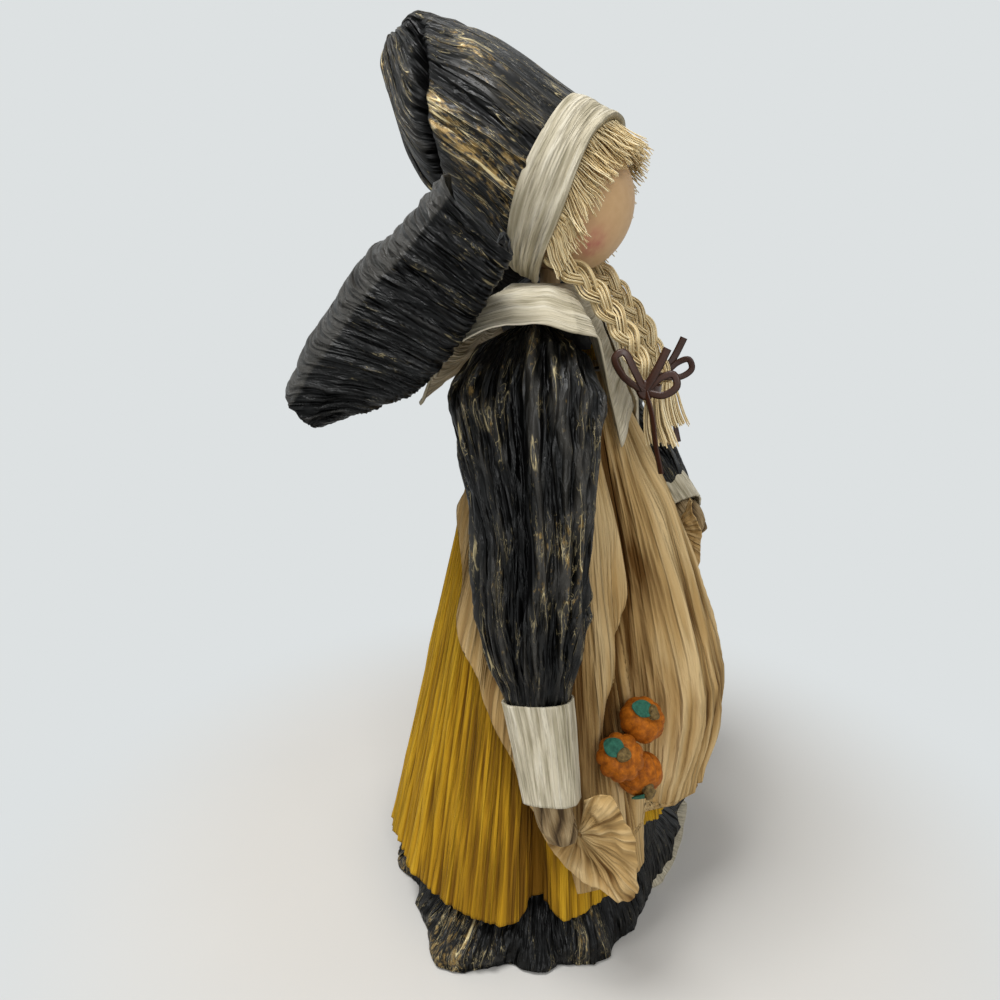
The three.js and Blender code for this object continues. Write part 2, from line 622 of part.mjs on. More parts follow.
function stem() {
  const stalk = new THREE.CylinderGeometry(0.7 * STEM_RADIUS, STEM_RADIUS, STEM_LENGTH, 8).rotateX(Math.PI / 2);
  return stalk.translate(0, 0, pumpkinTop + SEAT + STEM_LENGTH / 2);
}

function leaf() {
  const from = STEM_RADIUS + SEAT;
  const to = 0.72 * PUMPKIN_RADIUS;
  const base = pumpkinTop + SEAT + LEAF_THICKNESS;
  const grid = steps(3, 0, 1).map((share) => {
    const half = 0.32 * PUMPKIN_RADIUS * Math.sin(Math.PI * lerp(0.2, 0.9, share));
    return [-half, 0, half].map((side) => vec(lerp(from, to, share), side, base - LEAF_THICKNESS * share));
  });
  return sheet(grid, LEAF_THICKNESS);
}

// Head, bonnet, band and fringe, placed from the centre of the head.

const headSphere = (radius) =>
  new THREE.SphereGeometry(radius, 22, 15).rotateX(Math.PI / 2).translate(...head);
const headBall = () => cut(headSphere(HEAD_RADIUS), dowel(DOWEL_RADIUS + SEAT, neckHeight, dowelTop));

// Rings from the front edge of the crown to its gathered peak:
// back and up from the head's centre, half height, half width, lean of the ring in degrees.
const CROWN_RINGS = [
  [7.5, 5.5, HEAD_RADIUS + 7.5, HEAD_RADIUS + 8, 18], [21, 17, HEAD_RADIUS + 7, HEAD_RADIUS + 8, 11],
  [33.5, 25.5, HEAD_RADIUS + 5, HEAD_RADIUS + 6, 12], [46, 33.5, HEAD_RADIUS + 1.5, HEAD_RADIUS + 2, 16],
  [56, 42, 23.5, 23, 16], [63, 51, 18, 16, 20], [67.5, 59.5, 11, 9, 32], [69, 63, 5, 4, 36],
];
const BAND_BACK = [6.5, 4.9, HEAD_RADIUS + 7.5, HEAD_RADIUS + 8, 19.5];
const BAND_FRONT = [-4, -1, HEAD_RADIUS + 7, HEAD_RADIUS + 6.5, 27];
const SQUARED = 0.85; // fuller than an ellipse over the ears

// A point on such a ring, by its angle from the top.
function ringPoint([back, up, tall, wide, lean], angle, square, inset = 0) {
  const tilt = degToRad(lean);
  const rise = (tall - inset) * Math.cos(angle);
  const side = (wide - inset) * Math.sign(Math.sin(angle)) * Math.abs(Math.sin(angle)) ** square;
  return vec(side, head.y + back - rise * Math.sin(tilt), head.z + up + rise * Math.cos(tilt));
}

function bonnetCrown() {
  const rings = CROWN_RINGS.map((ring, i) => around(28).map((a) => ringPoint(ring, a, i < 2 ? SQUARED : 1)));
  return cut(loft(rings), headSphere(HEAD_RADIUS + SEAT));
}

// Pairs of points on the back and front edges of a strip round the face.
function strip(inset, end, count) {
  return steps(count, -end, end).map((degrees) =>
    [BAND_BACK, BAND_FRONT].map((ring) => ringPoint(ring, degToRad(degrees), SQUARED, inset)));
}

function bonnetBand() {
  const grid = strip(0, BAND_END, 36);
  return sheet(grid.map(([back, front]) => [back, back.clone().lerp(front, 0.5), front]), BAND_WALL);
}

// Hair lies on the head, not in it.
function clearOfHead(point) {
  const away = point.clone().sub(head);
  return away.setLength(Math.max(away.length(), HEAD_RADIUS + SEAT + 0.7 * HAIR_THICKNESS)).add(head);
}

function hairFringe() {
  const inset = BAND_WALL / 2 + SEAT + HAIR_THICKNESS / 2;
  const count = 30;
  return sheet(strip(inset, HAIR_END, count).map(([back, front], i) => {
    const degrees = Math.abs(lerp(-HAIR_END, HAIR_END, i / count));
    const length = lerp(FRINGE_LENGTH, CHEEK_HAIR_LENGTH, smoothstep(degrees, 20, HAIR_END)) + (i % 2);
    const out = front.clone().sub(back).normalize();
    const down = vec(0, 0.15, -0.5).multiplyScalar(lerp(0.4, 1, smoothstep(degrees, 60, HAIR_END)));
    const tip = front.clone().addScaledVector(out.add(down).normalize(), length);
    return [back.clone().lerp(front, 0.55), front, tip].map(clearOfHead);
  }), HAIR_THICKNESS);
}

// Braids, tassels and ribbon bows. Each braid lies on the front of the collar.

// Sideways, back and up from the head's centre.
const BRAID_ROOT = [HEAD_RADIUS - 2.6, 0, 6.8 - HEAD_RADIUS];
const braidLine = (side) => new THREE.CatmullRomCurve3([
  BRAID_ROOT, [24, -13.5, -29], [23.5, -25.7, -43], [22.5, -34.2, -58], [22, -39.7, -71],
].map(([x, back, up]) => vec(side * x, head.y + back, head.z + up)));
const BRAID_THICKNESS = [[0, 0.7], [0.15, 1], [0.8, 0.95], [1, 0.6]]; // share of its radius along it

function braid(side) {
  const line = braidLine(side);
  return loft(steps(12, 0, 1).map((share) => {
    const centre = line.getPointAt(share);
    const along = line.getTangentAt(share);
    const across = vec(1, 0, 0).cross(along).normalize();
    const wide = across.clone().cross(along).normalize();
    const radius = BRAID_RADIUS * table(BRAID_THICKNESS, share)[0];
    return around(10).map((a) => centre.clone()
      .addScaledVector(wide, radius * Math.cos(a))
      .addScaledVector(across, 0.8 * radius * Math.sin(a)));
  }));
}

const TASSEL_SECTIONS = [[0, 0.52], [0.3, 0.68], [0.8, 0.97], [1, 1]]; // place, share of its radius

function braidTassel(side) {
  const end = braidLine(side).getPointAt(1).add(vec(0, -1, -SEAT - 0.9));
  return loft(TASSEL_SECTIONS.map(([share, width]) => around(12).map((a) => {
    const radius = width * TASSEL_RADIUS;
    return end.clone().add(vec(radius * Math.cos(a), 0.75 * radius * Math.sin(a), -TASSEL_LENGTH * share));
  })));
}

const RIBBON_KNOT_RADIUS = 2.2;

// Ribbon tied round the end of a braid. Each path is given as back, up and out from the knot.
function braidBow(side) {
  const share = 0.93;
  const out = BRAID_RADIUS * table(BRAID_THICKNESS, share)[0] + SEAT + RIBBON_KNOT_RADIUS;
  const centre = braidLine(side).getPointAt(share).add(vec(side * out, 0, 0));
  const ribbon = (path, width) => {
    const half = vec(width / 2, 0, 0);
    const points = path.map(([back, up, outside]) => centre.clone().add(vec(side * outside, back, up)));
    const line = new THREE.CatmullRomCurve3(points).getPoints(6);
    return sheet(line.map((p) => [p.clone().sub(half), p.clone().add(half)]), RIBBON_THICKNESS);
  };
  const knot = new THREE.SphereGeometry(RIBBON_KNOT_RADIUS, 8, 6).translate(...centre);
  const backLoop = [[0.5, 0, 0], [5, 6, 2], [8.5, 12.5, 3], [9.5, 8.5, 3], [5.5, 2.5, 2], [0.5, -0.8, 0]];
  const frontLoop = [[-0.5, 0, 0], [-5, 4, 1], [-9.5, 5.5, 1], [-10, 1.5, 1], [-6, -0.5, 1], [-0.5, -0.9, 0]];
  const longTail = [[0, -0.5, 0], [-3, -9, 1.5], [-5, -20, 2], [-7.5, -30, 2]];
  const shortTail = [[0, 0.5, 0], [-4, 8, 1], [-7, 15, 1]];
  return join(knot, ...[backLoop, frontLoop, longTail, shortTail].map((path) => ribbon(path, RIBBON_WIDTH)));
}

// Bow behind the neck: two ribbon loops that fan out from a knot.

const collarBack = collarPoint(180, 0.5);
const collarSlope = collarPoint(180, 1).sub(collarPoint(180, 0)).normalize();
const collarOut = vec(0, -collarSlope.z, collarSlope.y);
const knotCentre = collarBack.clone().addScaledVector(collarOut, PAPER / 2 + 2 * SEAT + KNOT_RADIUS);
const ribbonAcross = vec(0, Math.cos(degToRad(BOW_SLOPE)), -Math.sin(degToRad(BOW_SLOPE)));
const ribbonUp = vec(0, Math.sin(degToRad(BOW_SLOPE)), Math.cos(degToRad(BOW_SLOPE)));
const bowRoot = KNOT_RADIUS + 2 * SEAT;

// A loop's line over the top, down its flat end and back along the underside, in shares of the half span and rise.
const BOW_LINE = [
  [0.4, 0.7], [0.62, 1], [0.8, 0.9], [0.95, 0.48], [0.99, 0.1], [0.98, -0.4], [0.95, -0.8], [0.88, -0.82], [0.8, -0.5],
  [0.62, -0.12], [0.38, 0.02],
];

// Shares of the rise above and below the middle plane, from the ribbon's edge by the head to its low edge.
const BOW_DEPTH = [
  [-0.5, 0.85, 0.75], [-0.2, 0.97, 0.97], [0, 1.08, 1], [0.12, 1, 0.95], [0.3, 0.98, 0.55], [0.5, 0.84, 0.1],
];

function bowLoop(side) {
  const path = BOW_LINE.map(([out, up]) => vec(out * BOW_HALF_SPAN, up * BOW_RISE, 0));
  const line = new THREE.CatmullRomCurve3([vec(bowRoot, 3, 0), ...path, vec(bowRoot, -1, 0)]);
  return sheet(line.getPoints(24).map(({ x: out, y: up }) => {
    const fanned = smoothstep(out, bowRoot, 0.75 * BOW_HALF_SPAN);
    const width = lerp(BOW_ROOT_WIDTH, BOW_RIBBON_WIDTH, fanned);
    return steps(7, -0.5, 0.5).map((share) => {
      const [above, below] = table(BOW_DEPTH, share);
      return knotCentre.clone()
        .add(vec(side * out, 0, 0))
        .addScaledVector(ribbonAcross, width * share)
        .addScaledVector(ribbonUp, up * lerp(1, up > 0 ? above : below, fanned));
    });
  }), PAPER);
}

const bowKnot = () => new THREE.SphereGeometry(KNOT_RADIUS, 16, 12).translate(...knotCentre);

// Colours and assembly.

const finish = (color, roughness = 0.85) =>
  new THREE.MeshStandardMaterial({ color, roughness, metalness: 0 });
const LOOKS = {
  foam: finish('#e9e8e2', 0.9),
  wood: finish('#c9a777', 0.7),
  wire: new THREE.MeshStandardMaterial({ color: '#8d8f90', roughness: 0.4, metalness: 1 }),
  black: finish('#201d1a'),
  mustard: finish('#c39a26'),
  kraft: finish('#c2a46c'),
  ivory: finish('#d5cfb8'),
  skin: finish('#cba87c', 0.6),
  raffia: finish('#c8ac76'),
  brown: finish('#4a2a1c', 0.6),
  orange: finish('#c8702f'),
  green: finish('#2e6b4a'),
};

const figure = new THREE.Group();

function place(name, geometry, look, parent = figure) {
  const mesh = new THREE.Mesh(geometry, LOOKS[look]);
  mesh.name = name;
  parent.add(mesh);
}

place('foam_cone', foamCone(), 'foam');
place('neck_dowel', neckDowel(), 'wood');
place('torso', torso(), 'black');
place('shoulder_wire', shoulderWire(WIRE_RADIUS, 0), 'wire');
place('petticoat', petticoat(), 'kraft');
place('dress', dress(), 'mustard');
place('hem_band', hemBand(), 'black');
place('apron', apron(), 'kraft');
place('neck_wire', neckWire(WIRE_RADIUS), 'wire');
place('collar', collar(), 'ivory');
place('bow_knot', bowKnot(), 'black');

for (const [name, side, arm] of [['right', -1, rightArm], ['left', 1, leftArm]]) {
  place(`bow_loop_${name}`, bowLoop(side), 'black');
  place(`arm_wire_${name}`, armWire(arm, WIRE_RADIUS, 0), 'wire');
  place(`sleeve_${name}`, sleeve(arm), 'black');
  place(`cuff_${name}`, cuff(arm), 'ivory');
  place(`hand_${name}`, hand(arm), 'kraft');
  place(`braid_${name}`, braid(side), 'raffia');
  place(`braid_tassel_${name}`, braidTassel(side), 'raffia');
  place(`braid_bow_${name}`, braidBow(side), 'brown');
}

place('apron_corner_right', apronCornerRight(), 'kraft');
place('apron_corner_left', apronCornerLeft(), 'kraft');

for (const { name, seat, turned } of [top, middle, low]) {
  const group = new THREE.Group();
  group.position.copy(seat);
  group.quaternion.copy(turned);
  figure.add(group);
  place(`pumpkin_${name}`, pumpkin(), 'orange', group);
  place(`pumpkin_stem_${name}`, stem(), 'brown', group);
  place(`pumpkin_leaf_${name}`, leaf(), 'green', group);
}

place('head_ball', headBall(), 'skin');
place('bonnet_crown', bonnetCrown(), 'black');
place('bonnet_band', bonnetBand(), 'ivory');
place('hair_fringe', hairFringe(), 'raffia');

export default figure;
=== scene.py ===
# %% [markdown]
# A standing doll made of crinkled "paper twist" ribbon over a foam cone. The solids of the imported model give
# every place and size, so the lesson starts by loading them: they are the frame that each paper, raffia and
# ribbon piece is built around. Sizes below are in millimetres, and one value turns them into metres.

import math

import bpy
import numpy as np
from mathutils import Matrix, Vector


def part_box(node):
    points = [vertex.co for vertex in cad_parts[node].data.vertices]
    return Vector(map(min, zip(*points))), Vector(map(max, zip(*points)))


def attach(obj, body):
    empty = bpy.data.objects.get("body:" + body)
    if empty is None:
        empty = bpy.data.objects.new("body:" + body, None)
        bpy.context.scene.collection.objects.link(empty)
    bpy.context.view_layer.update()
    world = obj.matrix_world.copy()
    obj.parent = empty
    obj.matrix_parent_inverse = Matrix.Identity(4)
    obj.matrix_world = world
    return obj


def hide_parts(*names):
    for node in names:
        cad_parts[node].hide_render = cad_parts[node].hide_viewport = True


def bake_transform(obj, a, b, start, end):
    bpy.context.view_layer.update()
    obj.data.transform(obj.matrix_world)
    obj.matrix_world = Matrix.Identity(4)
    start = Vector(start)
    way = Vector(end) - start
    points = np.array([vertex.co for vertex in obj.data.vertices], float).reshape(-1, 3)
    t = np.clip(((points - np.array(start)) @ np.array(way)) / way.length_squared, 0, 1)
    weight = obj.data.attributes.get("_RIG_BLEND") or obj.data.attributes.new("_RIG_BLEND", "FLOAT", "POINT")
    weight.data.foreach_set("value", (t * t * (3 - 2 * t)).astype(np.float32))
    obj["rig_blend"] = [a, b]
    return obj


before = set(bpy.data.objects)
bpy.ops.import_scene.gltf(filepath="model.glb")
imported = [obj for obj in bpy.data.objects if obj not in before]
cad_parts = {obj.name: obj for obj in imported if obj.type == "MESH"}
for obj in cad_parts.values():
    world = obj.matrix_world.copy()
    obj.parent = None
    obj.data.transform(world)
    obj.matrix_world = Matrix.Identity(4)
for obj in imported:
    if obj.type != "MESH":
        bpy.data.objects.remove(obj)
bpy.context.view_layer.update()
MM = 0.001

# %% [markdown]
# The photograph was taken by a phone held about 30 cm away, from the doll's right side, a little from the front
# and slightly above. A short lens close by gives the strong perspective, so the camera stands where the phone
# was and has the same angle of view.

# %% Camera
CAMERA_PLACE = Vector((-301.4, -80.8, 264.0)) * MM
CAMERA_PITCH = math.radians(16)
CAMERA_HEADING = math.radians(18.67)


def put_in_scene(name, data):
    """A new object at the origin, linked to the scene."""
    made = bpy.data.objects.new(name, data)
    bpy.context.scene.collection.objects.link(made)
    return made


def aim(thing, place, direction):
    """Puts a camera or a lamp at a place and turns it to face a direction."""
    thing.location = place
    thing.rotation_mode = "QUATERNION"
    thing.rotation_quaternion = direction.to_track_quat("-Z", "Y")


camera_data = bpy.data.cameras.new("camera")
camera_data.sensor_width = 36
camera_data.lens = 27
camera_data.clip_start = 0.01
camera = put_in_scene("camera", camera_data)
level = math.cos(CAMERA_PITCH)
aim(camera, CAMERA_PLACE, Vector((math.cos(CAMERA_HEADING) * level, math.sin(CAMERA_HEADING) * level,
                                  -math.sin(CAMERA_PITCH))))
bpy.context.scene.camera = camera
bpy.context.scene.view_settings.view_transform = "Standard"
print("camera at", tuple(round(x, 3) for x in camera.location))

# %% [markdown]
# Every finish is a small network of shader nodes. One function adds a node and sets or links its inputs: a value
# may be a number, another node, or a colour written as sRGB hex, which is turned into the linear numbers that a
# shader works with. The short functions after it add the nodes that most finishes need.

# %% Adding nodes
def linear(code):
    """The linear colour, with alpha, of an sRGB hex code."""
    values = [int(code[i:i + 2], 16) / 255 for i in (1, 3, 5)]
    return [v / 12.92 if v <= 0.04045 else ((v + 0.055) / 1.055) ** 2.4 for v in values] + [1.0]


def plug(tree, node, inputs):
    """Sets or links the inputs of a node. A node given as a value stands for its first output."""
    for socket, value in inputs.items():
        if isinstance(value, bpy.types.Node):
            value = value.outputs[0]
        if isinstance(value, bpy.types.NodeSocket):
            tree.links.new(value, node.inputs[socket])
        elif isinstance(value, str) and value.startswith("#"):
            node.inputs[socket].default_value = linear(value)
        else:
            node.inputs[socket].default_value = value


def add(tree, kind, inputs=None, **settings):
    made = tree.nodes.new(kind)
    for key, value in settings.items():
        setattr(made, key, value)
    plug(tree, made, inputs or {})
    return made


print("mustard in linear light:", [round(x, 3) for x in linear("#C39A26")])

# %% Nodes that many finishes need
def compute(tree, operation, *values, **settings):
    """A Math node on up to three values."""
    return add(tree, "ShaderNodeMath", dict(enumerate(values)), operation=operation, **settings)


def remap(tree, value, low, high, first=0.0, last=1.0, soft=False):
    """Turns the range from low to high into the range from first to last."""
    return add(tree, "ShaderNodeMapRange", {"Value": value, "From Min": low, "From Max": high, "To Min": first,
                                            "To Max": last}, interpolation_type="SMOOTHSTEP" if soft else "LINEAR")


def mixed(tree, share, first, second):
    """The colour that lies at a share of the way between two others."""
    return add(tree, "ShaderNodeMix", {0: share, 6: first, 7: second}, data_type="RGBA").outputs[2]


def new_material(name):
    material = bpy.data.materials.new(name)
    material.use_nodes = True
    return material, material.node_tree, material.node_tree.nodes["Principled BSDF"]


def own_space(tree):
    return add(tree, "ShaderNodeTexCoord").outputs["Object"]


def grainy(name, per_metre, detail=2.0, rough=0.5):
    """A new material with noise in the piece's own space, so many spots to a metre."""
    material, tree, shader = new_material(name)
    noise = add(tree, "ShaderNodeTexNoise", {"Vector": own_space(tree), "Scale": per_metre, "Detail": detail,
                                             "Roughness": rough})
    return material, tree, shader, noise


# %% [markdown]
# The doll stands on a pale table in front of a pale wall under soft room light from above. The floor takes the
# shadow close to the doll and fades into the wall's colour farther away, as a studio sweep does. The world is a
# plain even light, a wide lamp above gives the creases their lit sides, and the camera sees the wall's colour.

# %% Floor
WALL = "#DDE1E2"
FLOOR_HALF = 8.0
FLOOR_DROP = 0.4 * MM
FADE_FROM, FADE_TO = 0.12, 0.28


def seen_rays(tree):
    """1 on rays that go to the eye, straight or by a reflection or through something clear."""
    rays = add(tree, "ShaderNodeLightPath").outputs
    seen = compute(tree, "MAXIMUM", rays["Is Camera Ray"], rays["Is Glossy Ray"])
    return compute(tree, "MAXIMUM", seen, rays["Is Transmission Ray"])


corners = [(-1, -1), (1, -1), (1, 1), (-1, 1)]
floor_mesh = bpy.data.meshes.new("floor")
floor_mesh.from_pydata([(x * FLOOR_HALF, y * FLOOR_HALF, -FLOOR_DROP) for x, y in corners], [], [(0, 1, 2, 3)])
floor = put_in_scene("floor", floor_mesh)
# The table's mottling is broad and faint, about 110 mm.
table_top, tree, shader, grain = grainy("matt table top", 9, detail=3.0)
plug(tree, shader, {"Base Color": mixed(tree, grain, "#DAD8D3", "#D4D2CD"), "Roughness": 0.9})
away = add(tree, "ShaderNodeVectorMath", {0: own_space(tree)}, operation="LENGTH").outputs["Value"]
faded = compute(tree, "MULTIPLY", remap(tree, away, FADE_FROM, FADE_TO, soft=True), seen_rays(tree))
wall = add(tree, "ShaderNodeEmission", {"Color": WALL, "Strength": 1.0})
both = add(tree, "ShaderNodeMixShader", {0: faded, 1: shader, 2: wall})
plug(tree, tree.nodes["Material Output"], {"Surface": both})
floor_mesh.materials.append(table_top)
print("floor fades from", FADE_FROM, "to", FADE_TO, "m")

# %% World and lamps
LAMP_TARGET = Vector((0, 0, 0.15))
LAMP_SIZE = 0.5
ROOM_LIGHT = 0.34
world = bpy.data.worlds.new("room")
bpy.context.scene.world = world
world.use_nodes = True
tree = world.node_tree
tree.nodes.clear()
light = add(tree, "ShaderNodeBackground", {"Color": "#FFFFFF", "Strength": ROOM_LIGHT})
wall = add(tree, "ShaderNodeBackground", {"Color": WALL, "Strength": 1.0})
both = add(tree, "ShaderNodeMixShader", {0: seen_rays(tree), 1: light, 2: wall})
add(tree, "ShaderNodeOutputWorld", {"Surface": both})


def lamp(name, place, watts):
    data = bpy.data.lights.new(name, "AREA")
    data.size = LAMP_SIZE
    data.energy = watts
    aim(put_in_scene(name, data), place, LAMP_TARGET - Vector(place))


lamp("ceiling_lamp", (-0.3, 0.25, 1.25), 11)
lamp("window_lamp", (-0.9, -0.45, 0.7), 4)
print("lamps:", len(bpy.data.lights))

# %% [markdown]
# Paper twist is kraft paper that was wound into a cord and opened again, so it keeps hundreds of sharp creases
# that run along the strip, meet and part. A picture of that can't be used here, so the creases are made as
# numbers: noise on a grid of random values that is stretched along the strip and folded at its middle, which
# turns its slopes into ridges. The same numbers move the mesh and, kept as an attribute, paint shade into the
# creases and light onto the ridges.

# %% Noise as numbers
NOISE_GRID = 512


def smooth(x, low, high):
    t = np.clip((x - low) / (high - low), 0, 1)
    return t * t * (3 - 2 * t)


def lerp(a, b, share):
    return a + (b - a) * share


def table(rows, at):
    """Values between the rows of a table, whose first column is the place."""
    rows = np.array(rows, float)
    values = [np.interp(at, rows[:, 0], column) for column in rows.T[1:]]
    return values[0] if len(values) == 1 else values


def soft_noise(u, v, seed, cells=0):
    """Smooth noise from 0 to 1, one random value per unit. It closes on itself after that many cells of u."""
    values = np.random.default_rng(seed).random((NOISE_GRID, NOISE_GRID))
    i, j = np.floor(u).astype(int), np.floor(v).astype(int)
    x, y = u - i, v - j
    x, y = x * x * (3 - 2 * x), y * y * (3 - 2 * y)

    def at(a, b):
        return values[(a % (cells or NOISE_GRID)) % NOISE_GRID, b % NOISE_GRID]

    return lerp(lerp(at(i, j), at(i + 1, j), x), lerp(at(i, j + 1), at(i + 1, j + 1), x), y)


def folded_noise(u, v, seed, cells=0):
    """Noise folded at its middle: 1 on the ridges and -1 in the valleys."""
    return 1 - 2 * np.abs(2 * soft_noise(u, v, seed, cells) - 1)


def facet_edges(u, v, seed, cells):
    """0 on the sharp edge between two facets of crushed paper, rising to about 1 inside a facet."""
    shift = np.random.default_rng(seed).random((2, NOISE_GRID, NOISE_GRID))
    i, j = np.floor(u).astype(int), np.floor(v).astype(int)
    nearest, second = np.full(u.shape, 9.0), np.full(u.shape, 9.0)
    for a in (i - 1, i, i + 1):
        for b in (j - 1, j, j + 1):
            at = (a % (cells or NOISE_GRID)) % NOISE_GRID, b % NOISE_GRID
            away = np.hypot(u - a - shift[0][at], v - b - shift[1][at])
            second = np.minimum(second, np.maximum(nearest, away))
            nearest = np.minimum(nearest, away)
    return second - nearest


print("noise at the middle of a cell:", round(float(soft_noise(np.array(0.5), np.array(0.5), 1)), 2))

# %% Crinkles
# The size of each layer as a multiple of the grain, and its weight: wide ridges, fine ridges and facets.
CRINKLE_LAYERS = [(2.3, 0.45), (1.0, 0.25), (1.3, 0.3)]


def crinkle(u, v, seed, grain, around=0.0, run=7.0):
    """Height from -1 to 1 of paper creased along v, with ridges about grain mm apart across u."""
    u, v = np.broadcast_arrays(np.asarray(u, float), np.asarray(v, float))
    height = np.zeros(u.shape)
    for layer, (size, weight) in enumerate(CRINKLE_LAYERS):
        cells = max(1, round(around / (grain * size))) if around else 0
        width = around / cells if around else grain * size
        bends = max(1, round(cells / 4)) if around else 0
        slow = around / bends if around else 4 * width
        wander = 1.5 * soft_noise(u / slow, v / (1.3 * run * width), seed + 50 + layer, bends)
        across, along = u / width + wander, v / (run * width)
        if layer < 2:
            shift = soft_noise(across, along, seed + layer, cells)
            strength = 0.35 + 1.1 * soft_noise(across + 0.5, 1.7 * along, seed + 20 + layer, cells)
            height += weight * strength * (4 * np.abs((across + 1.5 * shift) % 1 - 0.5) - 1)
        else:
            height += weight * (1 - 2 * np.minimum(1.7 * facet_edges(across, 1.5 * along, seed + layer, cells), 1))
    return height


sample = crinkle(np.linspace(0, 100, 200)[None, :], np.linspace(0, 100, 50)[:, None], 1, 5.0)
print("crinkle sample from", round(float(sample.min()), 2), "to", round(float(sample.max()), 2))

# %% [markdown]
# Each paper piece starts as a grid of points: rows along the strip and columns across it, or round the body when
# it closes. The grid is pushed in and out along its own normals by the crinkles, becomes a mesh with the place on
# the strip as its UV map in millimetres, and gets the thickness of the paper from a Solidify modifier that is
# turned into plain mesh at once, because the pieces are later bent between two bodies.

# %% Grids of points
def facing(points, closed, inside):
    """Unit normals of a grid, turned away from a point inside the piece."""
    if closed:
        across = np.roll(points, -1, 1) - np.roll(points, 1, 1)
    else:
        across = np.gradient(points, axis=1)
    normal = np.cross(across, np.gradient(points, axis=0))
    normal /= np.maximum(np.linalg.norm(normal, axis=-1, keepdims=True), 1e-9)
    outwards = np.sign(np.sum(normal * (points - np.array(inside, float)), -1).mean())
    return normal * (outwards or 1)


def pushed(points, push, closed, inside):
    return points + facing(points, closed, inside) * push[..., None]


def as_plain_mesh(piece):
    """Turns the modifiers of a piece into plain mesh."""
    bpy.context.view_layer.update()
    ready = piece.evaluated_get(bpy.context.evaluated_depsgraph_get())
    mesh = bpy.data.meshes.new_from_object(ready)
    piece.modifiers.clear()
    old = piece.data
    piece.data = mesh
    bpy.data.meshes.remove(old)
    mesh.name = piece.name
    return piece


# %% Paper grid to mesh
def grid_uv(strip, around, shape, closing):
    """The place on the strip at each corner of each face. The column that closes the grid goes on counting."""
    u, v = (np.broadcast_to(np.asarray(x, float), shape) for x in strip)
    wide_u, wide_v = u, v
    if around:
        wide_u, wide_v = np.hstack([u, u[:, :1] + around]), np.hstack([v, v[:, :1]])
    first, last = slice(None, -1), slice(1, None)
    corners = [(first, first), (first, last), (last, last), (last, first)]
    places = [np.stack([np.stack([wide_u[c], wide_v[c]], -1) for c in corners], 2).reshape(-1)]
    places += [np.stack([u.reshape(-1)[face], v.reshape(-1)[face]], -1).reshape(-1) for face in closing]
    return np.concatenate(places).astype(np.float32)


def paper_piece(name, points, strip, facts, around, thickness, material, ends=()):
    """A sheet over a grid of points in mm. strip is (across, along) in mm, facts are values kept per point, around
    is the girth of a grid that closes, and ends are the rows, 0 or -1, that are closed by a face."""
    rows, columns = points.shape[:2]
    index = np.arange(rows * columns).reshape(rows, columns)
    left = index if around else index[:, :-1]
    right = np.roll(index, -1, 1) if around else index[:, 1:]
    quads = np.stack([left[:-1], right[:-1], right[1:], left[1:]], -1).reshape(-1, 4)
    closing = [index[row] if row else index[row][::-1] for row in ends]
    flat = points.reshape(-1, 3)
    mesh = bpy.data.meshes.new(name)
    mesh.from_pydata((flat * MM).tolist(), [], quads.tolist() + [face.tolist() for face in closing])
    mesh.uv_layers.new(name="strip").data.foreach_set("uv", grid_uv(strip, around, (rows, columns), closing))
    for key, value in facts.items():
        values = np.broadcast_to(np.asarray(value, float), (rows, columns))
        kept = mesh.attributes.new(key, "FLOAT", "POINT")
        kept.data.foreach_set("value", values.reshape(-1).astype(np.float32))
    mesh.polygons.foreach_set("use_smooth", np.ones(len(mesh.polygons), bool))
    a, b, c = (flat[quads[:, k]] for k in range(3))
    if ends and np.sum((a - flat.mean(0)) * np.cross(b - a, c - a)) < 0:
        mesh.flip_normals()
    mesh.materials.append(material)
    piece = put_in_scene(name, mesh)
    if thickness:
        wall_of_paper = piece.modifiers.new("paper thickness", "SOLIDIFY")
        wall_of_paper.thickness = thickness * MM
        wall_of_paper.offset = 0
        as_plain_mesh(piece)
    print(f"{name}: {len(piece.data.polygons)} faces")
    return piece


def settle(piece, body, slot, *nodes):
    """A finished piece rides on a body and stands for CAD nodes. The slot is not used."""
    if "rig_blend" not in piece:
        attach(piece, body)
    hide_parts(*nodes)
    return piece


# %% [markdown]
# All the papers are one kind of finish with other colours: uncoated kraft paper that was dyed, crushed and opened,
# so it is matt, with fibres and fine crinkles along the strip. Shade is painted into its creases and light onto its
# ridges: the kept attribute gives the large creases, and noise on the strip's own UV map gives what is finer than
# the mesh.
# Black paper was dry-brushed with gold, which only touched the ridges and rubbed patches.

# %% Weights, ramps and relief
def weigh(tree, start, *terms):
    """A start value, plus each term's value times its weight."""
    for value, weight in terms:
        start = compute(tree, "MULTIPLY_ADD", value, weight, start)
    return start


def ramp(tree, value, first, last, *between):
    """A colour ramp through stops of place and colour."""
    made = add(tree, "ShaderNodeValToRGB", {"Fac": value})
    stops = made.color_ramp.elements
    for stop, (place, code) in zip(stops, (first, last)):
        stop.position, stop.color = place, linear(code)
    for place, code in between:
        stops.new(place).color = linear(code)
    return made


def relief(tree, height, strength, depth, **settings):
    """Bump with a depth in mm."""
    return add(tree, "ShaderNodeBump", {"Height": height, "Strength": strength, "Distance": depth * MM}, **settings)


def attribute(tree, name):
    return add(tree, "ShaderNodeAttribute", attribute_name=name).outputs["Fac"]


# %% Noise on the strip
def strip_place(tree, across, along):
    """The place on the strip, counted in steps of across by along mm."""
    strip = add(tree, "ShaderNodeUVMap", uv_map="strip")
    return add(tree, "ShaderNodeMapping", {"Vector": strip, "Scale": (1 / across, 1 / along, 1)})


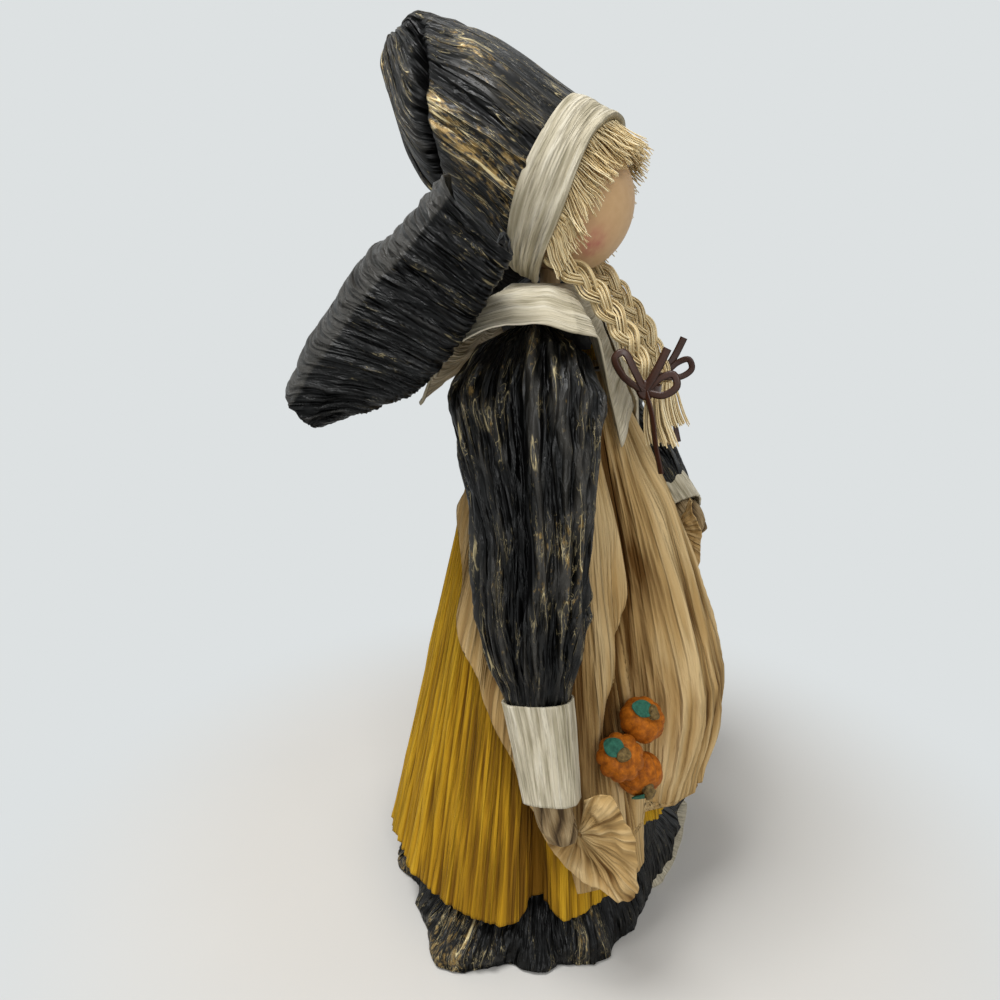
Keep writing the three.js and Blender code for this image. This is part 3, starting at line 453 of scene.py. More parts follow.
def mottle(tree, across, along, detail, rough=0.5, bend=0.0):
    """Noise on the strip with spots of about across by along mm."""
    place = strip_place(tree, across, along)
    return add(tree, "ShaderNodeTexNoise", {"Vector": place, "Scale": 1.0, "Detail": detail, "Roughness": rough,
                                            "Distortion": bend}, noise_dimensions="2D")


def off_middle(tree, value):
    """How far noise is from its middle value, which is 0 along thin lines."""
    return compute(tree, "ABSOLUTE", compute(tree, "SUBTRACT", value, 0.5))


# %% Gold brush and paper finishes
def brushed(tree, shader, colour, gold, fibres, crest):
    """Gold lines of about 0.3 mm on the crests of the folds, in patches of about 7 by 14 mm, and rubbed places that
    are mottled in spots of about 1.5 mm."""
    worn, crease = attribute(tree, "worn"), attribute(tree, "crease")
    patches = mottle(tree, 7, 14, 4.0, 0.7)
    some = remap(tree, weigh(tree, patches, (crease, 0.1), (worn, 0.4)), 0.5, 0.66, 0, 0.85)
    ridge = remap(tree, crest, 0.003, 0.011, 1, 0, soft=True)
    thin = remap(tree, off_middle(tree, fibres), 0.003, 0.015, 0.7, 0, soft=True)
    lined = compute(tree, "MULTIPLY", compute(tree, "MAXIMUM", ridge, thin), some)
    spots = mottle(tree, 1.4, 2.0, 3.0, 0.6)
    rubbed = weigh(tree, worn, (patches, 0.8), (spots, 1.9), (crease, 0.25))
    rubbed = remap(tree, rubbed, 1.72, 2.2, 0, 0.9, soft=True)
    touched = compute(tree, "MAXIMUM", lined, rubbed)
    plug(tree, shader, {"Metallic": compute(tree, "MULTIPLY", touched, 0.3)})
    hue = mixed(tree, fibres, "#4A3A1E", "#BE9D5E")
    return mixed(tree, lined, mixed(tree, rubbed, colour, hue), gold)


def twist_paper(name, deep, middle, light, fine, run, bump=0.6, rough=0.78, sheen=0.15, gold=None, streak=None):
    """fine and run are the width and length in mm of the crinkles that are finer than the mesh."""
    material, tree, shader = new_material(name)
    fibres = mottle(tree, fine, run, 3.0, 0.6, 0.4)
    bent = add(tree, "ShaderNodeVectorMath", {0: fibres.outputs["Color"], 1: (0.4, 0.4, 0),
                                              2: strip_place(tree, fine / 0.4, run / 0.6)}, operation="MULTIPLY_ADD")
    facets = add(tree, "ShaderNodeTexVoronoi", {"Vector": bent, "Scale": 1.0, "Randomness": 1.0},
                 voronoi_dimensions="2D", feature="DISTANCE_TO_EDGE")
    sharp = remap(tree, facets, 0, 0.3, 1, 0)
    crest = off_middle(tree, mottle(tree, fine / 0.5, run / 0.3, 1.0))
    folds = remap(tree, crest, 0, 0.16, 1, 0)
    # The colour is painted shade and light: the kept crease value, the facet edges and the fine folds make it darker
    # in the creases and paler on the ridges, and the ramp's last stop is a painted highlight.
    depth = weigh(tree, 0.3, (attribute(tree, "crease"), 0.34), (sharp, 0.12), (folds, 0.2), (fibres, 0.14))
    colour = ramp(tree, depth, (0.16, deep), (0.86, light), (0.5, middle))
    if streak:
        # Streaks in the paper are about 1 mm wide and 15 mm long.
        colour = mixed(tree, remap(tree, mottle(tree, 1, 15, 4.0, 0.7), 0.5, 0.72, 0, 0.75), colour, streak)
    if gold:
        colour = brushed(tree, shader, colour, gold, fibres, crest)
    height = weigh(tree, folds, (fibres, 0.15), (sharp, 0.8))
    plug(tree, shader, {"Base Color": colour, "Normal": relief(tree, height, bump, 1.1),
                        "Roughness": weigh(tree, rough - 0.15, (fibres, 0.3)), "Specular IOR Level": sheen})
    return material


# Each paper's first colour is the painted shade deep in its creases, and its last the painted highlight on its
# ridges.
black_paper = twist_paper("black paper brushed with gold", "#010101", "#060605", "#393733", fine=2.2, run=7.0,
                          bump=1.2, rough=0.4, sheen=0.24, gold="#C9B98C")
mustard_paper = twist_paper("mustard paper", "#74500E", "#BB8D1B", "#D8AB2C", fine=1.3, run=40.0, bump=0.9)
kraft_paper = twist_paper("tan kraft paper", "#62431C", "#B89762", "#D8BC8A", fine=1.5, run=26.0, bump=0.8)
ivory_paper = twist_paper("ivory paper", "#8F876E", "#C6BDA5", "#DDD6C2", fine=0.9, run=14.0, bump=0.5,
                          streak="#8F8670")
hand_paper = twist_paper("brown twisted paper", "#4A3A28", "#86704F", "#B09A76", fine=0.8, run=7.0)
print("papers:", [m.name for m in bpy.data.materials if "paper" in m.name])

# %% [markdown]
# The skirt is three papers over the foam cone: a pale lining whose edge stands out at the front left, a black hem
# that flares in lobes on the floor, and the mustard dress. All of them are walls round the figure, so each is a
# grid of angle and height whose radius repeats the rule of its solid. Angles are measured from the front towards
# the doll's right side.

# %% Layers round the cone
PAPER = 1.2
SEAT = 0.3
CONE_HEIGHT = 232.0
CONE_FOOT, CONE_TOP = 55, 20
GIRTH = 2 * math.pi * 70
DRESS_EDGE = 18.0
DRESS_TOP = 240.0
DRESS_FLARE = 20
PLEAT_DEPTH = 3
DRESS_LINE = [[0, .15], [30, .2], [51, .45], [64, .7], [83, .97], [100, 1], [117, .88], [145, .75], [180, .75]]


def polar(degrees, radius, z):
    a = np.radians(degrees)
    return np.stack(np.broadcast_arrays(-radius * np.sin(a), -radius * np.cos(a), z), -1)


def all_round(columns):
    return np.linspace(-180, 180, columns, endpoint=False)[None, :]


def bump_at(degrees, middle, width):
    away = (degrees - middle + 180) % 360 - 180
    return np.exp(-((away / width) ** 2))


def spread(z):
    return np.maximum(0, 1 - z / CONE_HEIGHT)


def lining_radius(z):
    return lerp(CONE_FOOT, CONE_TOP, z / CONE_HEIGHT) + SEAT + PAPER


def dress_ease(degrees, z):
    return DRESS_FLARE * spread(z) * table(DRESS_LINE, np.abs(degrees))


def pleat_room(z):
    return PLEAT_DEPTH * spread(z) ** 0.7


def dress_reach(degrees, z):
    return lining_radius(z) + SEAT + dress_ease(degrees, z) + pleat_room(z) + PAPER


print("dress reaches", round(float(dress_reach(90, 20)), 1), "mm at the side")

# %% Lining
LINING_TOP = 120
LIP_HEIGHT = 7
HEM_LINE = [
    [-180, .5], [-150, .62], [-135, .45], [-115, .8], [-98, 1.1], [-85, .8], [-70, 1], [-55, 1.05], [-37, 1.15],
    [-26, .7], [-12, .36], [5, .11], [11, .1], [28, .24], [44, .48], [51, .64], [57, .88], [63, .84], [69, .7],
    [73, .85], [83, .82], [88, 1.1], [95, 1.36], [103, 1.36], [113, .82], [131, .43], [145, .55], [165, .4],
    [180, .5],
]
ring = all_round(480)
z = LINING_TOP * np.linspace(0, 1, 24)[:, None] ** 1.6
standing_out = smooth(ring, -68, -50) * (1 - smooth(ring, 8, 19)) * np.clip(1 - z / LIP_HEIGHT, 0, 1)
lip = (20.6 * table(HEM_LINE, ring) + 3.5) * standing_out
u = ring / 360 * GIRTH
creases = crinkle(u, z, 11, 6, GIRTH)
points = polar(ring, lining_radius(z) - PAPER / 2 + lip, z)
points = pushed(points, 0.3 * creases * smooth(z, 0, 3), True, (0, 0, 60))
petticoat = paper_piece("pale_lining", points, (u, z), {"crease": creases * smooth(z, 0, 8)}, GIRTH, 0.7, ivory_paper)
settle(petticoat, "figure", "ivory_paper", "petticoat")

# %% Hem
HEM_TOP = 40.0
HEM_GIRTH = 1.15 * GIRTH
HEM_FLARE = 24
LUMP = 21
ring = all_round(640)
lifted = (3.5 + PAPER) * np.minimum(1, 2 * bump_at(ring, -37, 21))
z = lerp(lifted, HEM_TOP, np.linspace(0, 1, 40)[:, None])
below = np.clip((DRESS_EDGE - z) / (DRESS_EDGE - lifted), 0, 1)
u = ring / 360 * HEM_GIRTH
creases = crinkle(u, z, 21, 6.5, HEM_GIRTH, 2.4)
lumps = round(HEM_GIRTH / LUMP)
crumple = 1 - np.abs(2 * soft_noise(u / HEM_GIRTH * lumps, z / 14, 24, lumps) - 1)
rolled_up = below ** 0.55 * (1 - 0.16 * smooth(below, 0.6, 1))
points = polar(ring, lining_radius(z) + SEAT + 0.8 + HEM_FLARE * table(HEM_LINE, ring) * rolled_up, z)
push = (2.4 * creases * (0.3 + 0.7 * smooth(z - lifted, 0, 5)) + 6.5 * (crumple - 0.7)) * (0.2 + 0.8 * below)
points = pushed(points, push * (1 - 0.65 * bump_at(ring, 8, 32)), True, (0, 0, 20))
points[..., 2] = np.maximum(points[..., 2], 0.4)
worn = 0.6 * bump_at(ring, 103, 13) + 0.45 * bump_at(ring, 145, 14) + 0.35 * bump_at(ring, 58, 8) - 0.12
# Painted shade: the kept value is darker between the lumps of the crumpled hem, and higher where it is worn.
hem_band = paper_piece("black_hem", points, (u, z), {"crease": creases + crumple - 1.1 + worn, "worn": worn},
                       HEM_GIRTH, 0.6, black_paper)
settle(hem_band, "figure", "black_paper", "hem_band")

# %% Dress
PLEATS = 26
ring = all_round(470)
in_fold = bump_at(ring, 75, 5)
edge = DRESS_EDGE + 3 * in_fold + 14 * bump_at(ring, 0, 40) + 10 * bump_at(ring, 24, 13)
edge = edge + 1.2 * (soft_noise(ring / 360 * 40, 0 * ring, 33, 40) - 0.5)
z = lerp(edge, DRESS_TOP, np.linspace(0, 1, 92)[:, None] ** 1.15)
u = ring / 360 * GIRTH
pleats = soft_noise(ring / 360 * PLEATS, z / 150, 31, PLEATS)
ease = (dress_ease(ring, z) + pleat_room(z) * pleats) * (1 - 0.6 * in_fold)
creases = crinkle(u, z, 34, 3.4, GIRTH, 20.0)
behind = ring - 74
drawn_in = np.where(behind > 0, np.exp(-np.maximum(behind, 0) / 9), 0) * (1 - smooth(z, 60, 150))
points = polar(ring, lining_radius(z) + SEAT + ease + PAPER / 2, z)
points = pushed(points, (0.6 + 1.2 * spread(z)) * creases - 4 * drawn_in, True, (0, 0, 100))
# Painted shade: darker in the drawn-in fold on the right and in the hollows between the pleats.
shade = creases - 1.9 * drawn_in - 0.7 * (0.5 - pleats)
dress = paper_piece("mustard_dress", points, (u, z), {"crease": shade}, GIRTH, 0.5, mustard_paper)
settle(dress, "figure", "mustard_paper", "dress")

# %% [markdown]
# The apron hangs from the neck as a sling: full in front, drawn in along a valley on the right where the pumpkins
# lie, and its two lower corners are held up by the hands. When an arm lifts, its side of the apron must follow,
# so the apron is made as two halves that meet in a crease at the front, and each half is blended between the
# figure and one arm.

# %% Apron surface
APRON_HEM = 24.0
APRON_TOP = 236.0
BELLY_DEPTH = 21
BELLY_LINE = [[24, .02], [36, .04], [48, .08], [54, .2], [63, .34], [78, .66], [92, .9], [103, 1], [120, .96],
              [149, .8], [176, .55], [195, .31], [220, .08], [236, .01]]


def apron_radius(degrees, z):
    front = smooth(degrees, -85, -8) * (1 - smooth(degrees, 14, 36))
    sides = smooth(degrees, 62, 80) + smooth(-degrees, 70, 95)
    folds = 1.4 * (1 - np.cos(26 * np.radians(degrees))) * spread(z) ** 0.3
    height = (z - APRON_HEM) / (APRON_TOP - APRON_HEM)
    lip = 5 * sides * (1 - spread(z) ** 6) * smooth(1 - height, 0, 0.19)
    on_dress = dress_reach(degrees, z)
    resting = lerp(dress_reach(90, z), on_dress, bump_at(degrees, 27, 11))
    belly = BELLY_DEPTH * table(BELLY_LINE, z) * front
    return np.maximum(resting, on_dress) + PAPER + belly + lip + folds * np.maximum(np.maximum(front, sides), 0.2)


print("apron reaches", round(float(apron_radius(0, 103)), 1), "mm at the front")

# %% Apron halves
APRON_MEETS = 8.0
APRON_FULLNESS = 1.2
LEFT_HALF_HEM = 55.0
RIGHT_EDGE = [[24, 49], [34, 63], [50, 66], [72, 77], [94, 87], [117, 99], [139, 109], [161, 115], [180, 119],
              [205, 113], [236, 100]]
LEFT_EDGE = [[24, 42], [33, 38], [43, 33], [51, 25], [55, -2], [62, -18], [78, -31], [110, -42], [150, -55],
             [175, -68], [205, -86], [236, -95]]
# Where the flat panel beside the arm steps down into the valley, by height and angle.
PANEL_EDGE = [[50, 57], [78, 56], [93, 54], [108, 49.5], [122, 43.5], [134, 38], [146, 33.5], [160, 33], [194, 36],
              [236, 42]]


def apron_half(name, z, start, end, free_edge):
    """A half of the apron between two angles at each height. A free edge is calmer and stands off the dress."""
    degrees = lerp(start, end, np.linspace(0, 1, 170)[None, :])
    u, v = degrees / 360 * GIRTH * APRON_FULLNESS, z + 0 * degrees
    from_top = APRON_TOP - z
    hanging = smooth(from_top, 0, 60)
    calm = 1 - 0.75 * smooth(degrees, end - 18, end - 4) * free_edge
    creases = crinkle(u, v, 41, 5.5, 0, 12.0) * calm
    deep_folds = folded_noise(u / 15, v / 110, 47) * calm
    past = degrees - table(PANEL_EDGE, z)
    panel = np.where(past > 0, 3.4 * np.exp(-np.maximum(past, 0) / 24), -4.6 * np.exp(np.minimum(past, 0) / 9))
    panel = panel * np.tanh(np.abs(past) / 2.2) * smooth(z, 58, 85) * hanging
    edge_lip = 4.5 * smooth(degrees, end - 12, end) * smooth(z, 90, 130) * hanging * free_edge
    push = (0.7 + 1.6 * spread(z)) * creases + 3.2 * deep_folds * hanging + panel + edge_lip
    push = push - 2.2 * bump_at(degrees, APRON_MEETS, 1.6) * smooth(from_top, 0, 80)
    push = push * (0.35 + 0.65 * smooth(z, 46, 68))
    points = pushed(polar(degrees, apron_radius(degrees, z), z), push, False, (0, 0, 120))
    # Painted shade: darker in the valley beside the panel's edge, along the deep folds, and in a small pocket at the
    # belly, which has no fold in the mesh.
    shaded = np.exp(np.minimum(past, 0) / 8) * smooth(-past, 0, 2.5) * smooth(z, 60, 95) * smooth(from_top, 10, 60)
    pinch_shade = np.exp(-((degrees - 23) / 3) ** 2 - ((z - 158) / 9) ** 2)
    shade = creases + 0.8 * deep_folds - 2.6 * shaded - 0.8 * pinch_shade
    return paper_piece(name, points, (u, v), {"crease": shade}, 0, 0.5, kraft_paper)


rows = lerp(36, APRON_TOP, np.linspace(0, 1, 130)[:, None] ** 1.1)
right_half = apron_half("apron_right_half", rows, np.maximum(table(LEFT_EDGE, rows), APRON_MEETS),
                        table(RIGHT_EDGE, rows), True)
rows = rows[rows[:, 0] >= LEFT_HALF_HEM]
left_half = apron_half("apron_left_half", rows, table(LEFT_EDGE, rows), APRON_MEETS + 0 * rows, False)

# %% Apron follows the hands
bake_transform(right_half, "figure", "right_arm", start=(-0.034, -0.03, 0.1), end=(-0.082, -0.028, 0.1))
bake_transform(left_half, "figure", "left_arm", start=(0.012, -0.05, 0.16), end=(0.055, -0.062, 0.15))
settle(right_half, "figure", "kraft_paper", "apron")
settle(left_half, "figure", "kraft_paper", "apron")
print("blended between two bodies:", right_half.name, "and", left_half.name)

# %% [markdown]
# Each arm is a wire inside a puffed sleeve of black paper that is gathered at the shoulder and at the cuff. The
# sleeve is a tube along the arm's line: rings whose width and thickness come from a short table, folds that are
# deepest where the paper is gathered, and crinkles that run down the arm. The line is a smooth curve through the
# same few points as the solid's.

# %% Curves
def unit(vectors):
    return vectors / np.linalg.norm(vectors, axis=-1, keepdims=True)


def turn_of(columns):
    """Angles of so many columns round a closed grid."""
    return np.linspace(0, 2 * np.pi, columns, endpoint=False)[None, :]


def curve_through(points, count):
    """Evenly spaced points on a smooth curve through the given ones, and the curve's length."""
    p = np.array(points, float)
    p = np.vstack([2 * p[0] - p[1], p, 2 * p[-1] - p[-2]])
    knots = np.concatenate([[0], np.cumsum(np.sqrt(np.linalg.norm(np.diff(p, axis=0), axis=1)))])
    dense = []
    for i in range(1, len(p) - 2):
        t0, t1, t2, t3 = knots[i - 1:i + 3]
        t = np.linspace(t1, t2, 60, endpoint=i == len(p) - 3)[:, None]
        a1 = lerp(p[i - 1], p[i], (t - t0) / (t1 - t0))
        a2 = lerp(p[i], p[i + 1], (t - t1) / (t2 - t1))
        a3 = lerp(p[i + 1], p[i + 2], (t - t2) / (t3 - t2))
        b1 = lerp(a1, a2, (t - t0) / (t2 - t0))
        b2 = lerp(a2, a3, (t - t1) / (t3 - t1))
        dense.append(lerp(b1, b2, (t - t1) / (t2 - t1)))
    dense = np.vstack(dense)
    along = np.concatenate([[0], np.cumsum(np.linalg.norm(np.diff(dense, axis=0), axis=1))])
    even = np.linspace(0, along[-1], count)
    return np.stack([np.interp(even, along, column) for column in dense.T], -1), along[-1]


def between(rows, at):
    """Rows of numbers at places between the given ones."""
    return np.stack([np.interp(at, np.arange(len(rows)), column) for column in rows.T], -1)


# %% Arm lines
SHOULDER_HEIGHT = 249.26
ARM_ROOT = 31.0
# How far down, forward and clear of the apron the right arm is, and how far out, forward and down the left arm is.
HANGING_ARM = [[2, 3, 2], [25, 4, 14], [71, 10, 13.5], [101, 12, 12.5], [127, 17, 8.5], [165, 22, 7.5], [183, 25, 7]]
BENT_ARM = [[31, 3, 2], [55, 3, 32], [78, 8, 55], [87, 24, 72], [77, 40, 82], [65, 51, 90], [52, 62, 100]]
ARM_STEPS = 600


def arm_place(drop, clear):
    """How far out the right arm is, where it hangs beside the apron."""
    z = min(SHOULDER_HEIGHT - drop, APRON_TOP)
    return max(ARM_ROOT, float(apron_radius(np.linspace(64, 112, 21), z).max()) + PAPER / 2 + 3 + clear)


ARMS = {
    "right": [(-arm_place(drop, clear), -forward, SHOULDER_HEIGHT - drop) for drop, forward, clear in HANGING_ARM],
    "left": [(out, -forward, SHOULDER_HEIGHT - drop) for out, forward, drop in BENT_ARM],
}
ARM_CURVE = {side: curve_through(line, ARM_STEPS) for side, line in ARMS.items()}


def arm_tube(side, start, end, rows, columns):
    """Rings from start to end mm along an arm: a function that places points across them, and their angles."""
    curve, length = ARM_CURVE[side]
    at = np.linspace(start, end, rows) / length * (ARM_STEPS - 1)
    centre = between(curve, at)[:, None]
    tangent = unit(between(np.gradient(curve, axis=0), at))
    thick = unit(np.cross([0.0, 1.0, 0.0], tangent))
    wide = np.cross(tangent, thick)

    def place(forward, outward):
        return centre + wide[:, None] * forward[..., None] + thick[:, None] * outward[..., None]

    return place, turn_of(columns)


print("arm lengths:", {side: round(float(length)) for side, (_, length) in ARM_CURVE.items()}, "mm")

# %% Sleeves
CUFF_LENGTH = 36.0
HAND_LENGTH = {"right": 21.0, "left": 17.0}
HAND_BENDS = {"right": 5.0, "left": 0.0}
CUFF_HIDDEN = {"right": 0.0, "left": 23.0}
SLEEVE_GIRTH = 130.0
SLEEVE_WIDE, SLEEVE_THICK = 26, 14
# By the share of the way down: the parts of those half sizes, and how far forward the sleeve sags in mm.
SLEEVE_SECTIONS = [[0, .35, .43, 0], [.07, .77, .79, 0], [.2, 1, 1, 0], [.38, .9, 1, 1], [.58, .75, .93, 2.5],
                   [.77, .69, .89, 2.5], [.9, .6, .78, 1.5], [.985, .47, .58, 0], [1, .44, .54, 0],
                   [1.03, .34, .4, 0]]


def hand_start(side):
    return ARM_CURVE[side][1] - HAND_LENGTH[side]


def sleeve(side, seed):
    length = hand_start(side) - CUFF_LENGTH + CUFF_HIDDEN[side]
    rows = 180
    tube, angle = arm_tube(side, 0, length + 4, rows, 200)
    v = np.linspace(0, length + 4, rows)[:, None]
    place = v / length
    half_wide, half_thick, forward = table(SLEEVE_SECTIONS, place)
    leaning = angle / (2 * np.pi) - 0.0011 * v * np.clip(np.cos(angle), 0, 1)
    u = leaning * SLEEVE_GIRTH
    folds = folded_noise(leaning * 9, v / 60, seed, 9)
    gathers = soft_noise(leaning * 17, v / 45, seed + 1, 17) - 0.6
    drawn = 0.13 * (1 - smooth(place, 0, 0.25)) + 0.15 * smooth(place, 0.72, 0.9) * (1 - smooth(place, 0.93, 1))
    valley = np.exp(-((angle - np.pi / 2 + 0.2 * (place - 0.4)) / 0.17) ** 2) * smooth(place, 0.15, 0.3)
    valley = valley * (1 - smooth(place, 0.7, 0.85))
    creases = crinkle(u, v, seed + 3, 5.2, SLEEVE_GIRTH, 5.5)
    grow = 1 + drawn * gathers * 1.7
    points = tube(SLEEVE_WIDE * half_wide * grow * np.cos(angle) - forward,
                  SLEEVE_THICK * half_thick * grow * np.sin(angle))
    free = (0.3 + 0.7 * smooth(place, 0, 0.12)) * (1 - 0.85 * smooth(place, 0.86, 0.98))
    normal = facing(points, True, points.mean((0, 1)))
    outwards = np.sign(np.sum(normal * (points - points.mean(1, keepdims=True)), -1).mean())
    points = points + (outwards or 1) * normal * ((2.2 * creases + 2.4 * folds - 4.5 * valley) * free)[..., None]
    worn = 0.35 * (soft_noise(u / 22, v / 40, seed + 9, 6) - 0.6)
    # Painted shade and light: darker in the valley and overall, paler on the folds and gathers.
    shade = 1.1 * creases + 0.6 * folds + 0.6 * gathers - 1.5 * valley - 0.2
    made = paper_piece(f"gathered_sleeve_{side}", points, (u, 0.6 * v), {"crease": shade, "worn": worn}, SLEEVE_GIRTH,
                       0.5, black_paper)
    settle(made, f"{side}_arm", "black_paper", f"sleeve_{side}")


sleeve("right", 61)
sleeve("left", 71)

# %% [markdown]
# A cuff is one turn of ivory paper, pressed flat so that it has two soft edges, with its ends cut square. The hand
# is a short end of brown paper, twisted and pressed, so its rings have a few sharp folds that turn along it.

# %% Cuffs and hands
CUFF_GIRTH = 58.0
CUFF_WIDE, CUFF_THICK = (12.3, 9.6), (7.9, 7.2)
HAND_GIRTH = 38.0
HAND_REACH = 17
HAND_HIDDEN = 5
HAND_SECTIONS = [[-.3, 5.5, 3.6], [0, 7.2, 4.4], [.3, 7, 4.5], [.7, 6.6, 4.1], [.92, 4.6, 2.6], [1, 1.2, .8]]


def cuff(side, seed):
    rows = 50
    tube, angle = arm_tube(side, hand_start(side) - CUFF_LENGTH, hand_start(side), rows, 160)
    v = np.linspace(0, CUFF_LENGTH, rows)[:, None]
    u = angle / (2 * np.pi) * CUFF_GIRTH
    creases = crinkle(u, v, seed, 4.0, CUFF_GIRTH, 8.0)
    flat_sin = np.sign(np.sin(angle)) * np.abs(np.sin(angle)) ** 0.5
    place = v / CUFF_LENGTH
    points = tube(lerp(*CUFF_WIDE, place) * np.cos(angle) - 0.7 * HAND_BENDS[side] * place,
                  lerp(*CUFF_THICK, place) * flat_sin)
    points = pushed(points, 0.5 * creases, True, points.mean((0, 1)))
    made = paper_piece(f"ivory_cuff_{side}", points, (u, v), {"crease": creases}, CUFF_GIRTH, 0.9, ivory_paper)
    settle(made, f"{side}_arm", "ivory_paper", f"cuff_{side}")


def hand(side, seed):
    rows, start = 60, hand_start(side)
    tube, angle = arm_tube(side, start - HAND_HIDDEN, start + HAND_REACH, rows, 90)
    v = np.linspace(-HAND_HIDDEN, HAND_REACH, rows)[:, None]
    place = v / HAND_REACH
    half_wide, half_thick = table(HAND_SECTIONS, place)
    turned = angle + 0.9 * place
    folds = np.abs(np.sin(2.5 * turned + 1.2 * soft_noise(angle / np.pi, v / 6, seed, 2)))
    u = angle / (2 * np.pi) * HAND_GIRTH
    creases = crinkle(u, v, seed + 2, 3.2, HAND_GIRTH, 4.0)
    grow = 0.78 + 0.27 * folds + 0.06 * creases
    points = tube(half_wide * grow * np.cos(angle) - HAND_BENDS[side] * (0.7 + 0.5 * place),
                  half_thick * grow * np.sin(angle))
    # Painted shade and light: darker between the twisted folds and paler on their tops.
    made = paper_piece(f"twisted_hand_{side}", points, (u, v), {"crease": 1.6 * folds - 1.1 + 0.4 * creases},
                       HAND_GIRTH, 0.4, hand_paper, ends=(-1,))
    settle(made, f"{side}_arm", "tan_paper", f"hand_{side}")


for side, seed in [("right", 81), ("left", 91)]:
    cuff(side, seed)
    hand(side, seed + 4)

# %% [markdown]
# Each hand pinches a corner of the apron, and the corner opens below it as a crushed fan. A fan is a grid whose
# rows run out from the pinch to an outline. Faint pleats grow with the distance, and broad soft noise crushes it.

# %% Gathered corners
PINCH_FROM_END = 7.65
PINCH_HALF = 4.5
FAN_STRIP = (60, 25)
FAN_PLEATS = 5
UP = np.array([0, 0, 1.0])


def fan(name, side, out, offset, outline, seed):
    curve, length = ARM_CURVE[side]
    pinch = curve[int((ARM_STEPS - 1) * (length - PINCH_FROM_END) / length)]
    out = unit(np.array(out, float))
    centre = pinch - out * (PINCH_HALF + SEAT + PAPER / 2) + np.array(offset, float)
    sideways = unit(np.cross(UP, out))
    rim = curve_through([(x, y, 0) for x, y in outline], 170)[0][None]
    share = np.linspace(0.06, 1, 46)[:, None]
    turn = np.linspace(0, 1, 170)[None, :]
    u, v = turn * FAN_STRIP[0], share * FAN_STRIP[1]
    wave = 1 - 2 * np.abs(2 * ((turn * FAN_PLEATS + 1.3 * soft_noise(turn * 4, share * 1.6, seed)) % 1) - 1)
    fine = crinkle(u, v, seed + 1, 4.0, 0, 6.0)
    crushed = soft_noise(turn * 9, share * 5, seed + 3) - 0.5
    lift = share ** 0.8 * (0.6 * wave + 0.7 * fine) + 4 * crushed * smooth(share, 0.1, 0.5)
    reach = share * (1 + 0.05 * (soft_noise(turn * 40, 0 * turn, seed + 2) - 0.5) + 0.03 * wave)
    points = centre + sideways * (reach * rim[..., 0])[..., None] + UP * (reach * rim[..., 1])[..., None]
    points = points + out * lift[..., None]
    # Painted shade and light: paler where the pleats and crushing lift the fan, darker where they sink.
    made = paper_piece(f"pleated_{name}", points, (u, v), {"crease": 0.3 * wave + 0.6 * fine + crushed}, 0, 0.5,
                       kraft_paper)
    settle(made, f"{side}_arm", "kraft_paper", name)


fan("apron_corner_right", "right", (-1, 0, 0), (0, -11, -1),
    [(2, 16), (10, 18.5), (16, 10), (21.5, 1), (21.5, -12), (21, -24.6), (8, -20.5), (-3, -15.5), (-9, -11),
     (-15, -2)], 101)
left_out = unit(np.array([0.66, -0.75, 0]))
fan("apron_corner_left", "left", left_out, -1.5 * left_out - 2 * UP,
    [(-5, 16), (-12, 8), (-15, -6), (-12, -22), (0, -28), (12, -22), (14, -8)], 111)

# %% [markdown]
# The collar is one square of ivory paper over the shoulders with a hole for the neck and a slit in front, so that
# two long points hang over the chest. Its grid runs round the neck and outwards, and the edge's reach and drop
# come from a table of angles that is the same on both sides.

# %% Collar
NECK_HEIGHT = 264.3
NECK_HOLE = 15.4
SLIT = 8
COLLAR_STRIP = (45, 230)
COLLAR_EDGE = [[8, 36.6, 46], [16, 36.6, 53], [31, 40.6, 60], [44, 43.4, 37], [54, 48, 18], [64, 55, 15],
               [90, 54, 18], [118, 55, 28], [132, 57, 47], [142, 54, 45], [158, 43, 40], [180, 37, 36]]
degrees = np.linspace(SLIT, 360 - SLIT, 350)[None, :]
mirrored = np.minimum(degrees, 360 - degrees)
share = np.linspace(0, 1, 48)[:, None]
reach, drop = table(COLLAR_EDGE, mirrored)
on_shoulder = smooth(mirrored, 45, 65) * (1 - smooth(mirrored, 130, 160))
over_sleeve = smooth(mirrored, 62, 78) * (1 - smooth(mirrored, 125, 150)) * smooth(share, 0.1, 0.5)
height = NECK_HEIGHT - drop * share ** lerp(1.03, 1.5, on_shoulder) + 3.2 * over_sleeve
u, v = share * COLLAR_STRIP[0] + 0 * degrees, degrees / 360 * COLLAR_STRIP[1] + 0 * share
creases = crinkle(u, v, 121, 4.5, 0, 4.0)
waves = (soft_noise(v / 13, u / 30, 123) - 0.35) * smooth(mirrored, 48, 66)
lift = (0.5 + 0.6 * on_shoulder) * creases * (0.3 + 0.7 * share) + 7 * waves * share ** 2
points = pushed(polar(degrees, lerp(NECK_HOLE, reach, share), height), lift, False, (0, 0, 230))
# Painted shade and light: paler where the waves lift the collar and darker where they sink.
collar = paper_piece("ivory_collar", points, (u, v), {"crease": creases + waves}, 0, 0.6, ivory_paper)
settle(collar, "figure", "ivory_paper", "collar")

# %% [markdown]
# Behind the neck sits a large bow of the black paper: each loop is a wide strip that fans out from the knot, goes
# over the top, folds at the end and comes back along the underside. The grid follows that line with the strip's
# width across it, and the crinkles run along the strip and fan out where it widens.

# %% Bow loops
KNOT = np.array([0.0, 33.2, 250.9])
BOW_SLOPE = math.radians(47)
BOW_WIDTH = 97
BOW_LENGTH = 195
BOW_ROWS = 240
KNOT_END, WIDE_END = 25, 94
